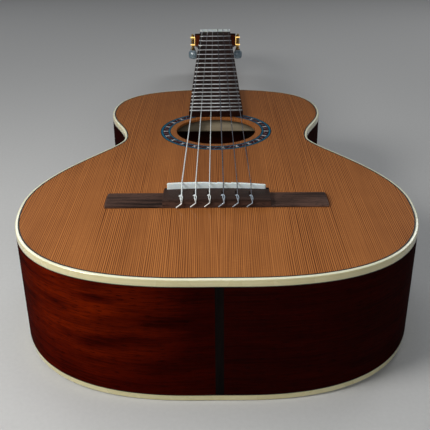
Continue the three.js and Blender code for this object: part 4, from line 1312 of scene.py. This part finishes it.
def make_roller(number, side, sign, drum):
    """The white roller, and its string wound round it from where it lands towards the middle of the head."""
    body = f"drum_{number}_{side}"
    part = placed(turned_part(in_mm(ROLLER), (0, drum.y, drum.z), (sign, 0, 0), 44), HEAD)
    add_piece(f"white_roller_{number}_{side}", [part], "roller", body, node=f"roller_{number}_{side}")
    n = number if side == "treble" else 7 - number
    centres, r = STRINGS[n]
    landing = to_head(centres[5])
    turns = 5
    pitch = 2.1 * r
    wrap = ROLLER_R + 0.3 * MM + r
    path = []
    for turned in arc(turns, 26 * turns):
        angle = math.pi / 2 - 2 * math.pi * turned
        x = landing.x - sign * pitch * turned
        path.append(HEAD @ Vector((x, drum.y + wrap * math.cos(angle), drum.z + wrap * math.sin(angle))))
    add_piece(f"winding_{number}_{side}", [tube(path, r, 8)], string_look(n), body, crease=60)


def slotted_screw(name, centre, sign, radius, height, body=BODY):
    """Domed screw head with a slot, facing out to one side."""
    shape = ((0, 1), (0.35, 1), (0.7, 0.86), (0.92, 0.55), (1, 0.12))
    profile = [(height * along, radius * share) for along, share in shape]
    axis = Vector((sign, 0, 0))
    screw = add_piece(name, [turned_part(profile, centre, axis, 32)], "gold", body)
    side = axis.orthogonal().normalized()
    turn = Matrix((side, axis.cross(side), axis)).transposed().to_4x4()
    slot = box_part((-2 * radius, -0.14 * radius, 0.5 * height), (2 * radius, 0.14 * radius, 2 * height))
    cut_with(screw, [placed(slot, Matrix.Translation(centre) @ turn)])


def make_machines():
    for number, side, sign, drum, worm in TUNERS:
        make_worm(number, side, worm)
        make_button(number, side, worm)
        make_roller(number, side, sign, drum)
        dress(f"gear_{number}_{side}", "gold", 0.12 * MM)
        hub = HEAD @ Vector((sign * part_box(f"gear_{number}_treble")[1].x, drum.y, drum.z))
        slotted_screw(f"gear_screw_{number}_{side}", hub, sign, 2.6 * MM, 1.2 * MM, f"drum_{number}_{side}")
    drum_z = TUNERS[0][3].z
    for side, sign in SIDES:
        dress(f"tuner_plate_{side}", "gold", 0.3 * MM)
        for i, y in enumerate(PLATE_SCREWS, start=1):
            painted_spot = HEAD @ Vector((sign * (HEAD_HALF + 1.2 * MM), y, drum_z))
            slotted_screw(f"plate_screw_{i}_{side}", painted_spot, sign, 2.1 * MM, 1.1 * MM)


# Stage: floor, light, camera. FIELD_TANGENT is the tangent of half the camera's field of view

FLOOR_REACH = 12.0
FLOOR_Z = -0.2 * MM

# Name, place, the x and y that it aims at, size, power and tint of each light
LIGHTS = (
    ("key", (-0.66, -0.38, 0.64), (0, 0), 0.4, 6.4, (1.0, 0.985, 0.96)),
    ("overhead", (0.0, 0.1, 1.15), (0, 0.1), 0.6, 1.9, (0.95, 0.98, 1.0)),
    ("front_fill", (0.0, -1.5, 0.9), (0, 0), 0.6, 5.0, (0.95, 0.98, 1.0)),
    ("rear_fill_right", (1.0, 1.3, 1.0), (0, 0.3), 0.7, 3.5, (0.97, 0.98, 1.0)),
    ("rear_fill_left", (-1.0, 1.4, 1.0), (0, 0.3), 0.7, 2.5, (0.97, 0.98, 1.0)),
)
WORLD_TINT = (0.9, 0.93, 1.0, 1)
WORLD_STRENGTH = 0.09

CAMERA_PLACE = (-0.4 * MM, -546.95 * MM, TOP + 250.3 * MM)
CAMERA_PITCH = math.radians(26.23)
CAMERA_TURN = math.radians(-0.11)
CAMERA_ROLL = math.radians(-0.45)
FIELD_TANGENT = 0.308
SENSOR = 36.0


def make_floor():
    mesh = bpy.data.meshes.new("floor")
    corners = [(x * FLOOR_REACH, y * FLOOR_REACH, FLOOR_Z) for x, y in ((-1, -1), (1, -1), (1, 1), (-1, 1))]
    mesh.from_pydata(corners, [], [(0, 1, 2, 3)])
    mesh.materials.append(floor_paper())
    floor = bpy.data.objects.new("floor", mesh)
    bpy.context.scene.collection.objects.link(floor)


def make_lights():
    """Disk lights, each aimed at a point on the level of the soundboard, and a faint pale sky."""
    for name, place, aim, size, power, tint in LIGHTS:
        data = bpy.data.lights.new(name, "AREA")
        data.shape = "DISK"
        data.size = size
        data.energy = power
        data.color = tint
        light = bpy.data.objects.new(name, data)
        light.location = place
        light.rotation_euler = (Vector((*aim, TOP)) - Vector(place)).to_track_quat("-Z", "Y").to_euler()
        bpy.context.scene.collection.objects.link(light)
    world = bpy.data.worlds.new("soft_world")
    world.use_nodes = True
    background = world.node_tree.nodes["Background"]
    background.inputs[0].default_value = WORLD_TINT
    background.inputs[1].default_value = WORLD_STRENGTH
    bpy.context.scene.world = world


def make_camera():
    """Behind the tail and above the soundboard, looking down along the strings."""
    data = bpy.data.cameras.new("camera")
    data.sensor_width = SENSOR
    data.lens = SENSOR / (2 * FIELD_TANGENT)
    data.clip_start = 0.01
    camera = bpy.data.objects.new("camera", data)
    turn = Matrix.Rotation(-CAMERA_TURN, 4, "Z")
    pitch = Matrix.Rotation(math.pi / 2 - CAMERA_PITCH, 4, "X")
    roll = Matrix.Rotation(CAMERA_ROLL, 4, "Z")
    camera.matrix_world = Matrix.Translation(CAMERA_PLACE) @ turn @ pitch @ roll
    bpy.context.scene.collection.objects.link(camera)
    bpy.context.scene.camera = camera


make_bindings()
make_purflings()
make_sides()
make_linings()
make_soundboard()
make_rosette()
make_back()
dress_inside()
make_neck()
make_head()
make_fingerboard()
make_frets()
dress("nut", "nut", 0.5 * MM)
dress("heel_cap", "board", 0.5 * MM)
make_bridge()
make_saddle()
make_strings()
make_machines()
make_floor()
make_lights()
make_camera()
bpy.context.scene.view_settings.view_transform = "Standard"
